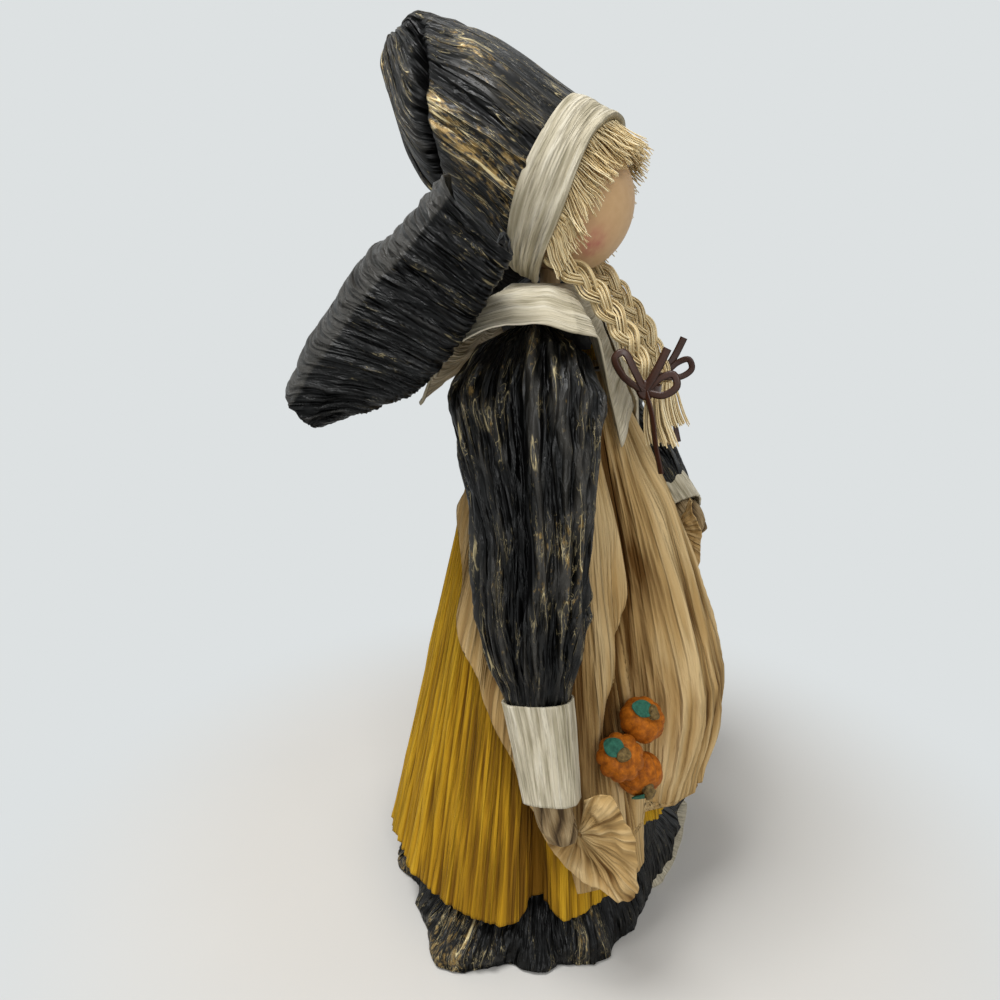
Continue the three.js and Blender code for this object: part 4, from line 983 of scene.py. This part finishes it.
# The strip's line out from the knot and up from its middle plane.
BOW_LINE = [(7.6, 3), (32.8, 17.5), (50.8, 25), (62, 24.5), (70, 21.5), (76, 16.8), (80, 11.8), (81, 10.3),
            (81.1, 8.5), (80.6, -4), (79.6, -13), (78.5, -19.5), (75.5, -21), (70, -17), (64, -11), (50.8, -3),
            (31.2, .5), (7.6, -1)]
# How much of that height each part of the strip's width keeps, above and below.
BOW_DEPTH = [[-.5, .85, .75], [-.2, .97, .97], [0, 1.08, 1], [.12, 1, .95], [.3, .98, .55], [.5, .84, .1]]
strip_across = np.array([0, math.cos(BOW_SLOPE), -math.sin(BOW_SLOPE)])
strip_up = np.array([0, math.sin(BOW_SLOPE), math.cos(BOW_SLOPE)])


def bow_loop(name, side, seed):
    line = curve_through([(out, up, 0) for out, up in BOW_LINE], BOW_ROWS)[0]
    out, up = line[:, :1], line[:, 1:2]
    share = np.linspace(-0.5, 0.5, 124)[None, :]
    fanned = smooth(out, 7.6, 61.5)
    u, v = (share + 0.5) * BOW_WIDTH, np.linspace(0, BOW_LENGTH, BOW_ROWS)[:, None] + 0 * share
    fanned_u = u + 0.9 * (share + 0.5) * (v - 86) * smooth(v, 60, 86) * (1 - smooth(v, 118, 150)) + 60
    lit_top_strip = smooth(out, 40, 55) * smooth(up, 8.5, 10.5)
    creases = crinkle(fanned_u, v, seed, 3.3, 0, 6.0) * (1 - 0.35 * lit_top_strip)
    ragged = 1 + 0.03 * (soft_noise(v / 9, 0 * v, seed + 5) - 0.5)
    scallop = 1 + 0.1 * (soft_noise(share * 9 + 20, v / 60, seed + 6) - 0.5)
    above, below = table(BOW_DEPTH, share)
    across = lerp(KNOT_END, WIDE_END, fanned) * share * np.where(share < 0, 0.95, 0.96) * ragged
    raised = up * lerp(1, np.where(up > 0, above * scallop, below), fanned)
    points = KNOT + np.array([side, 0, 0]) * (out + 0 * share)[..., None]
    points = points + strip_across * across[..., None] + strip_up * raised[..., None]
    push = 1.2 * creases * (0.4 + 0.6 * smooth(out, 10, 50))
    points = pushed(points, push, False, KNOT + [side * 45, 0, 0])
    worn = 0.2 * (soft_noise(u / 20, v / 30, seed + 7) - 0.8) - 0.8 * lit_top_strip
    # Painted light and shade: the top strip, lit from above, is painted paler and the end face darker.
    made = paper_piece(f"paper_{name}", points, (fanned_u, 0.6 * v),
                       {"crease": creases + 1.7 * lit_top_strip - 0.7, "worn": worn}, 0, 0.6, black_paper)
    return settle(made, "figure", "black_paper", name)


right_loop = bow_loop("bow_loop_right", -1, 131)
left_loop = bow_loop("bow_loop_left", 1, 141)

# %% Bow knot
KNOT_STRIP = 7
KNOT_RADIUS = 6.7


def latitudes(rows, gap):
    """Angles from pole to pole of a ball, short of each pole by a small gap."""
    return np.linspace(-0.5 * np.pi + gap, 0.5 * np.pi - gap, rows)[:, None]


angle, lat = turn_of(90), latitudes(50, 0.08)
u, v = lat * KNOT_STRIP, angle * KNOT_STRIP
creases = crinkle(u + 12, v, 151, 3.0, 0, 6.0)
radius = KNOT_RADIUS + 0.5 * creases
points = KNOT + np.stack([radius * np.sin(lat), radius * np.cos(lat) * np.cos(angle),
                          radius * np.cos(lat) * np.sin(angle)], -1)
bow_knot = paper_piece("paper_bow_knot", points, (u, v), {"crease": creases, "worn": 0}, 2 * np.pi * KNOT_STRIP, 0.5,
                       black_paper, ends=(0, -1))
settle(bow_knot, "figure", "black_paper", "bow_knot")

# %% [markdown]
# The head is a plain smooth ball of painted pressed cotton, a little narrower at the chin, with no features: only
# a soft blush was dabbed on the cheeks. It is a grid of latitude and longitude, and an attribute keeps how near each
# point is to the middle of a cheek, so the blush stays on the cheek at every turn of the head.

# %% Face finish
# Cotton fibres make spots of about 3 mm, and the dabs of the brush are about 2.4 mm wide and 11 mm tall.
skin, tree, shader, fibre = grainy("painted pressed cotton", 320, detail=3.0)
dabs = add(tree, "ShaderNodeMapping", {"Vector": own_space(tree), "Scale": (420, 420, 90)})
dabs = add(tree, "ShaderNodeTexNoise", {"Vector": dabs, "Scale": 1.0, "Detail": 2.0})
dabbed = compute(tree, "MULTIPLY", weigh(tree, -0.1, (dabs, 1.5)), attribute(tree, "blush"), use_clamp=True)
plain = mixed(tree, fibre, "#C49E70", "#D6B386")
plug(tree, shader, {"Base Color": mixed(tree, dabbed, plain, "#B9635A"), "Normal": relief(tree, fibre, 0.12, 0.4),
                    "Roughness": 0.55})
print(skin.name, "has", len(tree.nodes), "nodes")

# %% Head
HEAD = np.array([0.0, -6.0, 294.3])
HEAD_RADIUS = 26.0
CHEEK_TURN, CHEEK_DROP, CHEEK_SIZE = 50, 38, 17
lat, turn = latitudes(90, 0.02), turn_of(140)
x, y, up = np.cos(lat) * np.sin(turn), -np.cos(lat) * np.cos(turn), np.sin(lat) + 0 * turn
chin = smooth(-up, 0.1, 1.0)
x, y = x * (1 - 0.14 * chin), y * (1 - 0.05 * chin) - 0.05 * chin
points = HEAD + HEAD_RADIUS * np.stack([x, y, up], -1)
from_front = np.abs((np.degrees(turn) + 180) % 360 - 180)
near = np.hypot(from_front - CHEEK_TURN, (np.degrees(lat) + CHEEK_DROP) * 1.2)
head_ball = paper_piece("painted_head", points, (turn * HEAD_RADIUS, lat * HEAD_RADIUS),
                        {"blush": np.exp(-(near / CHEEK_SIZE) ** 2)}, 2 * np.pi * HEAD_RADIUS, 0, skin, ends=(0, -1))
settle(head_ball, "head", "skin", "head_ball")

# %% [markdown]
# The bonnet is a square of the black paper, gathered into a peak at the back, and an ivory strip binds its front
# edge round the face. The crown is a row of leaning rings from the strip to the peak. Its folds deepen where the
# paper is drawn together, one deep fold crosses the right side, and the last rings turn in to close the peak.

# %% Bonnet rings
# How far back and up each ring is, how tall and wide, how many degrees it leans, and the squareness of its sides.
CROWN_RINGS = np.array([
    [3, 3, 32.4, 32.8, 21, .85], [9, 7, 33.6, 34.2, 17, .85], [21, 17, 33, 34, 11, .85], [33.5, 25.5, 31, 32, 12, 1],
    [46, 33.5, 27.5, 28, 16, 1], [54.5, 42, 23.5, 23, 16, 1], [61, 51, 17.5, 16, 20, 1], [66.5, 59.5, 11, 9, 32, 1],
    [69, 63, 5, 4, 36, 1], [66, 60, 3, 2.5, 36, 1],
])
ROUNDING = 9


def ring_points(rings, angle, inset=0.0):
    """Points on leaning rings, by the angle from the top, round the head's centre."""
    back, up, tall, wide, lean, square = np.moveaxis(rings, -1, 0)
    lean = np.radians(lean)
    rise = (tall - inset) * np.cos(angle)
    side = (wide - inset) * np.sign(np.sin(angle)) * np.abs(np.sin(angle)) ** square
    return HEAD + np.stack([side, back - rise * np.sin(lean), up + rise * np.cos(lean)], -1)


rows = np.linspace(0, len(CROWN_RINGS) - 1, 130)
padded = np.pad(between(CROWN_RINGS, rows), ((ROUNDING // 2, ROUNDING // 2), (0, 0)), mode="edge")
rings = np.stack([np.convolve(column, np.ones(ROUNDING) / ROUNDING, "valid") for column in padded.T], -1)
print("crown rings:", len(rings))

# %% Bonnet crown
CROWN_GIRTH = 190.0
CROWN_STRIP = 110
# The deep fold and the worn patch, by the share of the way to the peak and the degrees from the top.
CROWN_FOLD = [[.28, -165], [.36, -141], [.4, -118], [.43, -105], [.46, -94], [.49, -82], [.53, -71], [.58, -62],
              [.62, -48]]
CROWN_WORN = [[0, -104, 20], [.12, -102, 24], [.2, -106, 22], [.28, -106, 18], [.34, -100, 14], [.38, -93, 11],
              [.42, -86, 8], [.48, -78, 5]]
CROWN_DEPTH = [[0, 0], [.06, .3], [.2, 1.6], [.5, 2.5], [.75, 2.6], [.9, 1.3], [1, .3]]
angle = turn_of(280)
share = (rows / rows[-1])[:, None]
u, v = angle / (2 * np.pi) * CROWN_GIRTH, share * CROWN_STRIP
creases = crinkle(u, v, 161, 5.2, CROWN_GIRTH, 8.0)
gathers = folded_noise(angle / (2 * np.pi) * 15, v / 70, 167, 15)
from_top = (np.degrees(angle) + 180) % 360 - 180
fold = np.exp(-((from_top - table(CROWN_FOLD, share)) / 11) ** 2)
fold = fold * smooth(share, 0.3, 0.38) * (1 - smooth(share, 0.66, 0.8))
push = table(CROWN_DEPTH, share) * (gathers + 0.45 * creases) - 9 * fold
points = pushed(ring_points(rings[:, None], angle), push, True, HEAD + [0, 35, 25])
middle, half = table(CROWN_WORN, share)
worn = 0.5 * (1 - smooth(np.abs(from_top - middle) / half, 0.5, 1.4)) * (1 - smooth(share, 0.43, 0.5))
worn = worn + 0.22 * np.exp(-((from_top + 45) / 18) ** 2 - ((share - 0.38) / 0.12) ** 2)
worn = worn + 0.3 * np.exp(-((from_top - 70) / 40) ** 2 - ((share - 0.6) / 0.2) ** 2) - 2 * fold
# Painted shade and light: darker in the deep fold and paler on the gathers.
bonnet_crown = paper_piece("gathered_crown", points, (u, 0.55 * v),
                           {"crease": creases + 0.5 * gathers - 4 * fold, "worn": worn}, CROWN_GIRTH, 0.6,
                           black_paper, ends=(-1,))
settle(bonnet_crown, "head", "black_paper", "bonnet_crown")

# %% Bonnet band
BAND = np.array([[6.5, 4.9, 33.5, 34, 19.5, .85], [-4, -1, 33, 32.5, 27, .85]])
BAND_HALF_TURN = 154
BAND_HALF_LENGTH = 92
BAND_WIDTH = 14


def band_points(across, angle, inset=0.0):
    """Points of the band, which is wider at the sides; across goes from its back edge, 0, to its front edge, 1."""
    side = smooth(np.abs(angle), math.radians(40), math.radians(110))
    across = across * (1 + 0.55 * side) - 0.2 * side
    return ring_points(BAND[0] + across[..., None] * (BAND[1] - BAND[0]), angle, inset)


# The band bulges across its width, and its front edge is turned in.
width = np.linspace(0, 1, 22)
across = np.concatenate([width, [1.03, 1.02, 0.96, 0.88]])[:, None]
bulge = np.concatenate([0.9 * np.sin(width * np.pi), [-0.5, -1.1, -1.3, -1.2]])[:, None]
angle = np.radians(np.linspace(-BAND_HALF_TURN, BAND_HALF_TURN, 310))[None, :]
u = across * BAND_WIDTH + 0 * angle
v = angle / math.radians(BAND_HALF_TURN) * BAND_HALF_LENGTH + 0 * across
creases = crinkle(u, v, 171, 3.0, 0, 10.0)
points = pushed(band_points(across + 0 * angle, angle), bulge + 0.3 * creases, False, HEAD)
bonnet_band = paper_piece("ivory_band", points, (u, v), {"crease": creases}, 0, 0.7, ivory_paper)
settle(bonnet_band, "head", "ivory_paper", "bonnet_band")

# %% [markdown]
# Hair, braids and tassels are raffia: flat pale strands of palm leaf, about one millimetre wide. One Geometry Nodes
# tree makes all of them. The script draws each strand's line as a chain of edges, and the tree turns the chains
# into curves, lets them waver, gives each its own width and shade, and sweeps a flat profile along them.

# %% Raffia finish
# The veins in a strand are about 1.5 mm long.
raffia, tree, shader, veins = grainy("dried raffia", 650)
shade = weigh(tree, attribute(tree, "strand"), (veins, 0.45))
plug(tree, shader, {"Base Color": ramp(tree, shade, (0.1, "#B79C68"), (1.0, "#EFDFB6"), (0.6, "#E2CB99")),
                    "Normal": relief(tree, veins, 0.3, 0.3), "Roughness": 0.5})
print(raffia.name, "has", len(tree.nodes), "nodes")

# %% Starting, ending and running a tree
def start_tree(name, **inputs):
    """A Geometry Nodes tree with named inputs beside the geometry, and the sockets of those inputs."""
    tree = bpy.data.node_groups.new(name, "GeometryNodeTree")
    tree.interface.new_socket("Geometry", in_out="INPUT", socket_type="NodeSocketGeometry")
    for label, kind in inputs.items():
        tree.interface.new_socket(label, in_out="INPUT", socket_type=f"NodeSocket{kind}")
    tree.interface.new_socket("Geometry", in_out="OUTPUT", socket_type="NodeSocketGeometry")
    return tree, add(tree, "NodeGroupInput").outputs


def end_tree(tree, shape, material):
    shape = add(tree, "GeometryNodeSetShadeSmooth", {"Geometry": shape})
    shape = add(tree, "GeometryNodeRealizeInstances", {"Geometry": shape})
    shape = add(tree, "GeometryNodeSetMaterial", {"Geometry": shape, "Material": material})
    add(tree, "NodeGroupOutput", {"Geometry": shape})
    print(f"{tree.name}: a tree of {len(tree.nodes)} nodes")
    return tree


def run_tree(name, mesh, tree, **sizes):
    """A new piece: the tree runs on a mesh with its named inputs set, and the result is kept as a plain mesh."""
    piece = put_in_scene(name, mesh)
    modifier = piece.modifiers.new(tree.name, "NODES")
    modifier.node_group = tree
    for item in tree.interface.items_tree:
        if item.in_out == "INPUT" and item.name in sizes:
            modifier[item.identifier] = sizes[item.name]
    return as_plain_mesh(piece)


# %% Raffia tree
def strand_tree(name, material):
    """Chains of edges become flat strands. Turned is the turn of the flat side in radians."""
    tree, given = start_tree(name, Width="Float", Thickness="Float", Waver="Float", Turned="Float", Seed="Int")
    lines = add(tree, "GeometryNodeMeshToCurve", {"Mesh": given["Geometry"]})
    place = add(tree, "GeometryNodeInputPosition")
    # A strand's bends are about 7 mm long.
    shifted = add(tree, "ShaderNodeTexNoise", {"Vector": place, "Scale": 140.0, "Detail": 1.0, "W": given["Seed"]},
                  noise_dimensions="4D").outputs["Color"]
    middle = add(tree, "ShaderNodeVectorMath", {0: shifted, 1: (0.5, 0.5, 0.5)}, operation="SUBTRACT")
    waver = add(tree, "ShaderNodeVectorMath", {0: middle, "Scale": given["Waver"]}, operation="SCALE")
    lines = add(tree, "GeometryNodeSetPosition", {"Geometry": lines, "Offset": waver})
    lines = add(tree, "GeometryNodeSetCurveTilt", {"Curve": lines, "Tilt": given["Turned"]})
    each = {"ID": add(tree, "GeometryNodeCurveOfPoint").outputs["Curve Index"], "Seed": given["Seed"]}
    size = add(tree, "FunctionNodeRandomValue", {2: 0.7, 3: 1.25, **each}).outputs[1]
    shade = add(tree, "FunctionNodeRandomValue", each).outputs[1]
    lines = add(tree, "GeometryNodeSetCurveRadius", {"Curve": lines, "Radius": size})
    lines = add(tree, "GeometryNodeStoreNamedAttribute", {"Geometry": lines, "Name": "strand", "Value": shade})
    profile = add(tree, "GeometryNodeCurvePrimitiveCircle", {"Resolution": 6, "Radius": 0.5})
    flat = add(tree, "ShaderNodeCombineXYZ", {"X": given["Width"], "Y": given["Thickness"], "Z": 1.0})
    profile = add(tree, "GeometryNodeTransform", {"Geometry": profile, "Scale": flat})
    swept = add(tree, "GeometryNodeCurveToMesh", {"Curve": lines, "Profile Curve": profile, "Scale": size,
                                                  "Fill Caps": True})
    return end_tree(tree, swept, material)


def strands(name, lines, tree, width, thickness, waver, turned, seed):
    """Strands along lines. The lines and sizes are in mm."""
    mesh = bpy.data.meshes.new(name)
    starts = np.cumsum([0] + [len(line) for line in lines]).tolist()
    edges = [(i, i + 1) for start, end in zip(starts, starts[1:]) for i in range(start, end - 1)]
    mesh.from_pydata((np.vstack(lines) * MM).tolist(), edges, [])
    piece = run_tree(name, mesh, tree, Width=width * MM, Thickness=thickness * MM, Waver=waver * MM, Turned=turned,
                     Seed=seed)
    print(f"{name}: {len(lines)} strands, {len(piece.data.polygons)} faces")
    return piece


raffia_tree = strand_tree("raffia strands", raffia)

# %% Fringe
FRINGE_LENGTHS = [[0, 16], [40, 15], [70, 14], [95, 14], [122, 12]]
FRINGE_LAYERS = 4
FRINGE_STRANDS = 190
FRINGE_HALF_TURN = 121


def clear_of_head(points, room):
    away = points - HEAD
    length = np.linalg.norm(away, axis=-1, keepdims=True)
    return HEAD + away / length * np.maximum(length, HEAD_RADIUS + room)


chance = np.random.default_rng(181)
fringe_lines = []
for layer in range(FRINGE_LAYERS):
    for degree in np.linspace(-FRINGE_HALF_TURN, FRINGE_HALF_TURN, FRINGE_STRANDS):
        degree = degree + chance.uniform(-0.8, 0.8)
        inset = 1.3 + 0.75 * layer + chance.uniform(0, 0.4)
        back, front = band_points(np.array([0.0, 1.0]), np.radians(np.array([degree, degree])), inset)
        tuft = 1.6 * (soft_noise(np.array([degree / 9.0 + 50]), np.array([layer * 0.3]), 183)[0] - 0.5)
        length = table(FRINGE_LENGTHS, abs(degree)) * chance.uniform(0.68, 1.08) + tuft
        hang = lerp(0.25, 1.1, smooth(abs(degree), 35, 105)) * (1 + 0.25 * (layer - 1.5))
        clump = soft_noise(degree / np.array([7.0, 8.0, 9.0]) + 90, np.full(3, layer * 0.4), 187) - 0.5
        lean = unit(front - back) + np.array([0, 0.15, -1.0]) * hang + 0.7 * clump + chance.normal(0, 0.08, 3)
        line = np.vstack([lerp(back, front, 0.5), front + unit(lean) * length * np.linspace(0, 1, 8)[:, None]])
        fringe_lines.append(clear_of_head(line, 0.5 + 0.6 * (FRINGE_LAYERS - 1 - layer)))
hair_fringe = strands("raffia_fringe", fringe_lines, raffia_tree, 0.9, 0.35, 2.2, 0.0, 3)
settle(hair_fringe, "head", "raffia", "hair_fringe")

# %% [markdown]
# A three-strand braid follows a simple rule: each lock swings from side to side, and passes over and under twice in
# the time of one swing. The locks are a third of a turn apart, and each is a small bundle of strands.

# %% Braids and tassels
# How far out, back and up from the head's centre the braid hangs.
BRAID_PLACES = [(23.4, 0, -19.2), (24, -13.5, -29), (23.5, -25.7, -43), (22.5, -34.2, -58), (22, -39.7, -71)]
BRAID_WIDTHS = [[0, .7], [.15, 1], [.8, .95], [1, .6]]
PLAITS = 2.4
LOCK_SWING, LOCK_DEPTH, LOCK_RADIUS = 2.6, 1.4, 2.5
LOCK_STRANDS = 34
TASSEL_RADII = [[0, 3], [.3, 3.9], [.8, 5.4], [1, 5.7]]
TASSEL_LENGTH = 18.3
TASSEL_STRANDS = 85


def braid_line(side):
    return [HEAD + np.array([side * out, back, up]) for out, back, up in BRAID_PLACES]


def braid(side, seed):
    count = 64
    centre, _ = curve_through(braid_line(side), count)
    tangent = unit(np.gradient(centre, axis=0))
    deep = unit(np.cross([1.0, 0.0, 0.0], tangent))
    wide = np.cross(deep, tangent)
    at = np.linspace(0, 1, count)
    size = table(BRAID_WIDTHS, at)
    chance = np.random.default_rng(seed)
    lines = []
    for lock in range(3):
        swing = 2 * np.pi * (PLAITS * at + lock / 3)
        for _ in range(LOCK_STRANDS):
            turn = chance.uniform(0, 2 * np.pi)
            off = math.sqrt(chance.uniform(0.1, 1)) * LOCK_RADIUS
            sideways = size * (LOCK_SWING * np.cos(swing) + off * np.cos(turn))
            depth = size * (LOCK_DEPTH * np.sin(2 * swing) + 0.8 * off * np.sin(turn))
            lines.append(centre + deep * sideways[:, None] + wide * depth[:, None])
    return lines


def tassel(side, seed):
    end = braid_line(side)[-1] + np.array([0, -1, 1.5])
    chance = np.random.default_rng(seed)
    share = np.linspace(0, 1, 9)
    lines = []
    for _ in range(TASSEL_STRANDS):
        turn, off = chance.uniform(0, 2 * np.pi), math.sqrt(chance.uniform(0, 1))
        radius = off * table(TASSEL_RADII, share)
        drop = -share * (TASSEL_LENGTH + chance.uniform(-1.6, 0.4))
        lines.append(end + np.stack([radius * np.cos(turn), 1.1 * radius * np.sin(turn) - 4 * share ** 2, drop], -1))
    return lines


SIDES = [(-1, "right"), (1, "left")]
for side, word in SIDES:
    made = strands(f"raffia_braid_{word}", braid(side, 190 + side), raffia_tree, 0.6, 0.4, 0.9, 0.0, 190 + side)
    settle(made, f"{word}_braid", "raffia", f"braid_{word}")
    made = strands(f"raffia_braid_tassel_{word}", tassel(side, 200 + side), raffia_tree, 0.8, 0.4, 1.2, 0.0,
                   200 + side)
    settle(made, f"{word}_braid", "raffia", f"braid_tassel_{word}")

# %% [markdown]
# Thin brown satin ribbon is tied round the end of each braid in a bow with two loops and two tails. Ribbon follows a
# path too, so the same kind of tree sweeps it, with a wide flat profile and no waver.

# %% Ribbon bows
# Satin threads are about 0.1 mm apart, too fine to show, so they are drawn 0.5 mm apart.
satin, tree, shader, threads = grainy("brown satin ribbon", 2000, detail=1.0)
plug(tree, shader, {"Base Color": mixed(tree, threads, "#24120B", "#4C2A1A"),
                    "Normal": relief(tree, threads, 0.15, 0.2), "Roughness": 0.38})
ribbon_tree = strand_tree("ribbon", satin)
TIED_AT = 0.93
# How far back, up and out from the knot each ribbon goes: two loops, the long tail and the short one.
RIBBON_PATHS = [
    [(.5, 0, 0), (4, 7, 2), (8, 13.5, 3), (11, 11.5, 3.5), (8, 5, 2.5), (.5, -.8, 0)],
    [(-.5, 0, 0), (-5, 4.5, 1), (-9.5, 6, 1), (-11, 2, 1.5), (-6.5, -1.5, 1), (-.5, -.9, 0)],
    [(0, -.5, 0), (-3, -9, 1.5), (-5, -20, 2), (-7.5, -30, 2)],
    [(0, .5, 0), (-4, 8, 1), (-7, 15, 1)],
]
for side, word in SIDES:
    middle = curve_through(braid_line(side), 200)[0][int(TIED_AT * 199)]
    knot = middle + np.array([side * 6.5, 0, 0])
    lines = [curve_through([knot + np.array([side * out, back, up]) for back, up, out in path], 40)[0]
             for path in RIBBON_PATHS]
    wrap = np.linspace(0, 2 * np.pi, 30)
    lines.append(middle + np.stack([5.2 * np.cos(wrap), 4.6 * np.sin(wrap), 0.4 * np.sin(wrap)], -1))
    lines.append(knot + np.stack([0 * wrap, 1.6 * np.cos(wrap), 1.8 * np.sin(wrap)], -1))
    made = strands(f"ribbon_braid_bow_{word}", lines, ribbon_tree, 3.2, 0.22, 0.0, math.pi / 2, 1)
    settle(made, f"{word}_braid", "brown_ribbon", f"braid_bow_{word}")

# %% [markdown]
# The three pumpkins are small balls covered with orange paper, drawn in along nine ribs, each with a painted green
# leaf and a stub of twisted brown paper. A second Geometry Nodes tree makes the ribbed ball from a plain one: the
# angle round its axis gives the groove, and the poles are pressed in.

# %% Pumpkin finish
def pressed_paper(name, deep, light, grit):
    """Thin paper glued round a small form; grit is the size in mm of its wrinkles."""
    material, tree, shader, wrinkles = grainy(name, 1000 / grit, detail=4.0, rough=0.65)
    # Painted shade: the colour follows the wrinkles and is darker where they are low.
    plug(tree, shader, {"Base Color": ramp(tree, wrinkles, (0.3, deep), (0.7, light)),
                        "Normal": relief(tree, wrinkles, 0.5, 0.6), "Roughness": 0.65, "Specular IOR Level": 0.2})
    return material


orange_paper = pressed_paper("orange paper", "#7C410B", "#C47016", 2.0)
green_paper = pressed_paper("green painted paper", "#1B4A3C", "#377560", 1.8)
stem_paper = pressed_paper("brown stem paper", "#3E3019", "#8A7345", 1.4)
print("pumpkin finishes:", [finish.name for finish in (orange_paper, green_paper, stem_paper)])

# %% Pumpkin tree
ribbed, given = start_tree("ribbed pumpkin", Radius="Float", Ribs="Int", Groove="Float")
ball = add(ribbed, "GeometryNodeMeshUVSphere", {"Segments": 96, "Rings": 48, "Radius": 1.0})
parts = add(ribbed, "ShaderNodeSeparateXYZ", {0: add(ribbed, "GeometryNodeInputPosition")}).outputs
turned = compute(ribbed, "ARCTAN2", parts["Y"], parts["X"])
wave = compute(ribbed, "MULTIPLY", turned, compute(ribbed, "MULTIPLY", given["Ribs"], 0.5))
wave = compute(ribbed, "ABSOLUTE", compute(ribbed, "COSINE", wave))
wave = compute(ribbed, "SUBTRACT", compute(ribbed, "POWER", wave, 0.55), 1.0)
girth = weigh(ribbed, 1.0, (wave, given["Groove"]))
near_pole = compute(ribbed, "POWER", compute(ribbed, "MULTIPLY", parts["Z"], parts["Z"]), 4.0)
height = compute(ribbed, "MULTIPLY", parts["Z"], weigh(ribbed, 0.9, (near_pole, -0.22)))
flat = add(ribbed, "ShaderNodeCombineXYZ", {"X": parts["X"], "Y": parts["Y"]})
flat = add(ribbed, "ShaderNodeVectorMath", {0: flat, "Scale": girth}, operation="SCALE")
tall = add(ribbed, "ShaderNodeCombineXYZ", {"Z": height})
shape = add(ribbed, "ShaderNodeVectorMath", {0: flat, 1: tall}, operation="ADD")
shape = add(ribbed, "ShaderNodeVectorMath", {0: shape, "Scale": given["Radius"]}, operation="SCALE")
end_tree(ribbed, add(ribbed, "GeometryNodeSetPosition", {"Geometry": ball, "Position": shape}), orange_paper)

# %% Pumpkins
# Where each stem points, and to which side of it the leaf lies.
PUMPKIN_AXES = {"top": [(-.4, -.6, .7), (0, 1, 0)], "middle": [(-.72, -.3, .62), (0, .8, .6)],
                "low": [(-.7, -.6, -.4), (0, .6, -.8)]}
PUMPKIN_SIZES = {"Radius": 9.1 * MM, "Ribs": 9, "Groove": 0.13}
STEM_RADII = [[0, 3], [.15, 2.6], [.7, 2.5], [.95, 1.7], [1, .1]]
STEM_FOOT, STEM_HEIGHT = 5.6, 4.6
LEAF_LENGTH, LEAF_HALF_WIDTH = 7.2, 3.6


def pumpkin_place(word, axis, leaf_side):
    """Turns a pumpkin's stem along its axis and moves it to the middle of its solid."""
    low, high = (np.array(corner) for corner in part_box(f"pumpkin_{word}"))
    up = Vector(axis).normalized()
    ahead = (Vector(leaf_side) - Vector(leaf_side).dot(up) * up).normalized()
    turned = Matrix((ahead, up.cross(ahead), up)).transposed().to_4x4()
    return Matrix.Translation(Vector((low + high) / 2)) @ turned


def pumpkin_stem(name, seed):
    share, angle = np.linspace(0, 1, 16)[:, None], turn_of(28)
    lumpy = 1 + 0.6 * (soft_noise(angle / (2 * np.pi) * 5, share * 3, seed, 5) - 0.5)
    radius = table(STEM_RADII, share) * lumpy
    points = np.stack([radius * np.cos(angle) + 0.9 * share ** 2, radius * np.sin(angle),
                       STEM_FOOT + STEM_HEIGHT * share + 0 * angle], -1)
    return paper_piece(name, points, (angle, share), {}, 2 * np.pi, 0, stem_paper, ends=(0, -1))


def pumpkin_leaf(name):
    along, side = np.linspace(0, 1, 24)[:, None], np.linspace(-1, 1, 17)[None, :]
    x = 1.2 + LEAF_LENGTH * along + 0 * side
    y = LEAF_HALF_WIDTH * np.sin(np.pi * (0.1 + 0.86 * along)) ** 0.7 * side
    dome = 8.4 - 0.045 * (x * x + y * y) + 0.3 * np.abs(side)
    return paper_piece(name, np.stack([x, y, dome], -1), (y, x), {}, 0, 0.5, green_paper)


for seed, (word, (axis, leaf_side)) in enumerate(PUMPKIN_AXES.items(), 210):
    name = f"ribbed_pumpkin_{word}"
    ball = run_tree(name, bpy.data.meshes.new(name), ribbed, **PUMPKIN_SIZES)
    for made, slot, node in [(ball, "orange_paper", "pumpkin"),
                             (pumpkin_stem(f"twisted_stem_{word}", seed), "brown_ribbon", "pumpkin_stem"),
                             (pumpkin_leaf(f"painted_leaf_{word}"), "green_paper", "pumpkin_leaf")]:
        made.data.transform(pumpkin_place(word, axis, leaf_side))
        settle(made, "figure", slot, f"{node}_{word}")

# %% [markdown]
# What is inside keeps the shape of its solid and only needs its finish: the foam cone is beaded polystyrene, the
# dowel is birch, the armature is soft iron wire, and the shoulders are rolled black paper.

# %% Inner pieces
foam, tree, shader = new_material("beaded polystyrene foam")
# Beads are about 3 mm across.
beads = add(tree, "ShaderNodeTexVoronoi", {"Vector": own_space(tree), "Scale": 330.0})
# Painted shade: the colour is darker towards the edges of the beads, where they sink.
plug(tree, shader, {"Base Color": mixed(tree, beads, "#EEEDE8", "#D9D7CF"),
                    "Normal": relief(tree, beads, 0.4, 0.6, invert=True), "Roughness": 0.85})

birch, tree, shader = new_material("birch dowel")
# The grain of birch is about 1 mm across and 17 mm along.
wood = add(tree, "ShaderNodeMapping", {"Vector": own_space(tree), "Scale": (900, 900, 60)})
wood = add(tree, "ShaderNodeTexNoise", {"Vector": wood, "Scale": 1.0, "Detail": 3.0})
plug(tree, shader, {"Base Color": mixed(tree, wood, "#B8925F", "#DDBF91"), "Roughness": 0.6})

# The dull spots on the wire are about 1 mm.
iron, tree, shader, drawn = grainy("soft iron wire", 900)
plug(tree, shader, {"Base Color": "#5B5751", "Metallic": 1.0, "Roughness": weigh(tree, 0.25, (drawn, 0.3))})

rolled = pressed_paper("rolled black paper", "#14120F", "#2A2622", 3.0)
for finish, names in [(foam, ["foam_cone"]), (birch, ["neck_dowel"]), (rolled, ["torso"]),
                      (iron, ["shoulder_wire", "neck_wire", "arm_wire_right", "arm_wire_left"])]:
    for name in names:
        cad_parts[name].data.materials.clear()
        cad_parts[name].data.materials.append(finish)
print("materials:", len(bpy.data.materials))
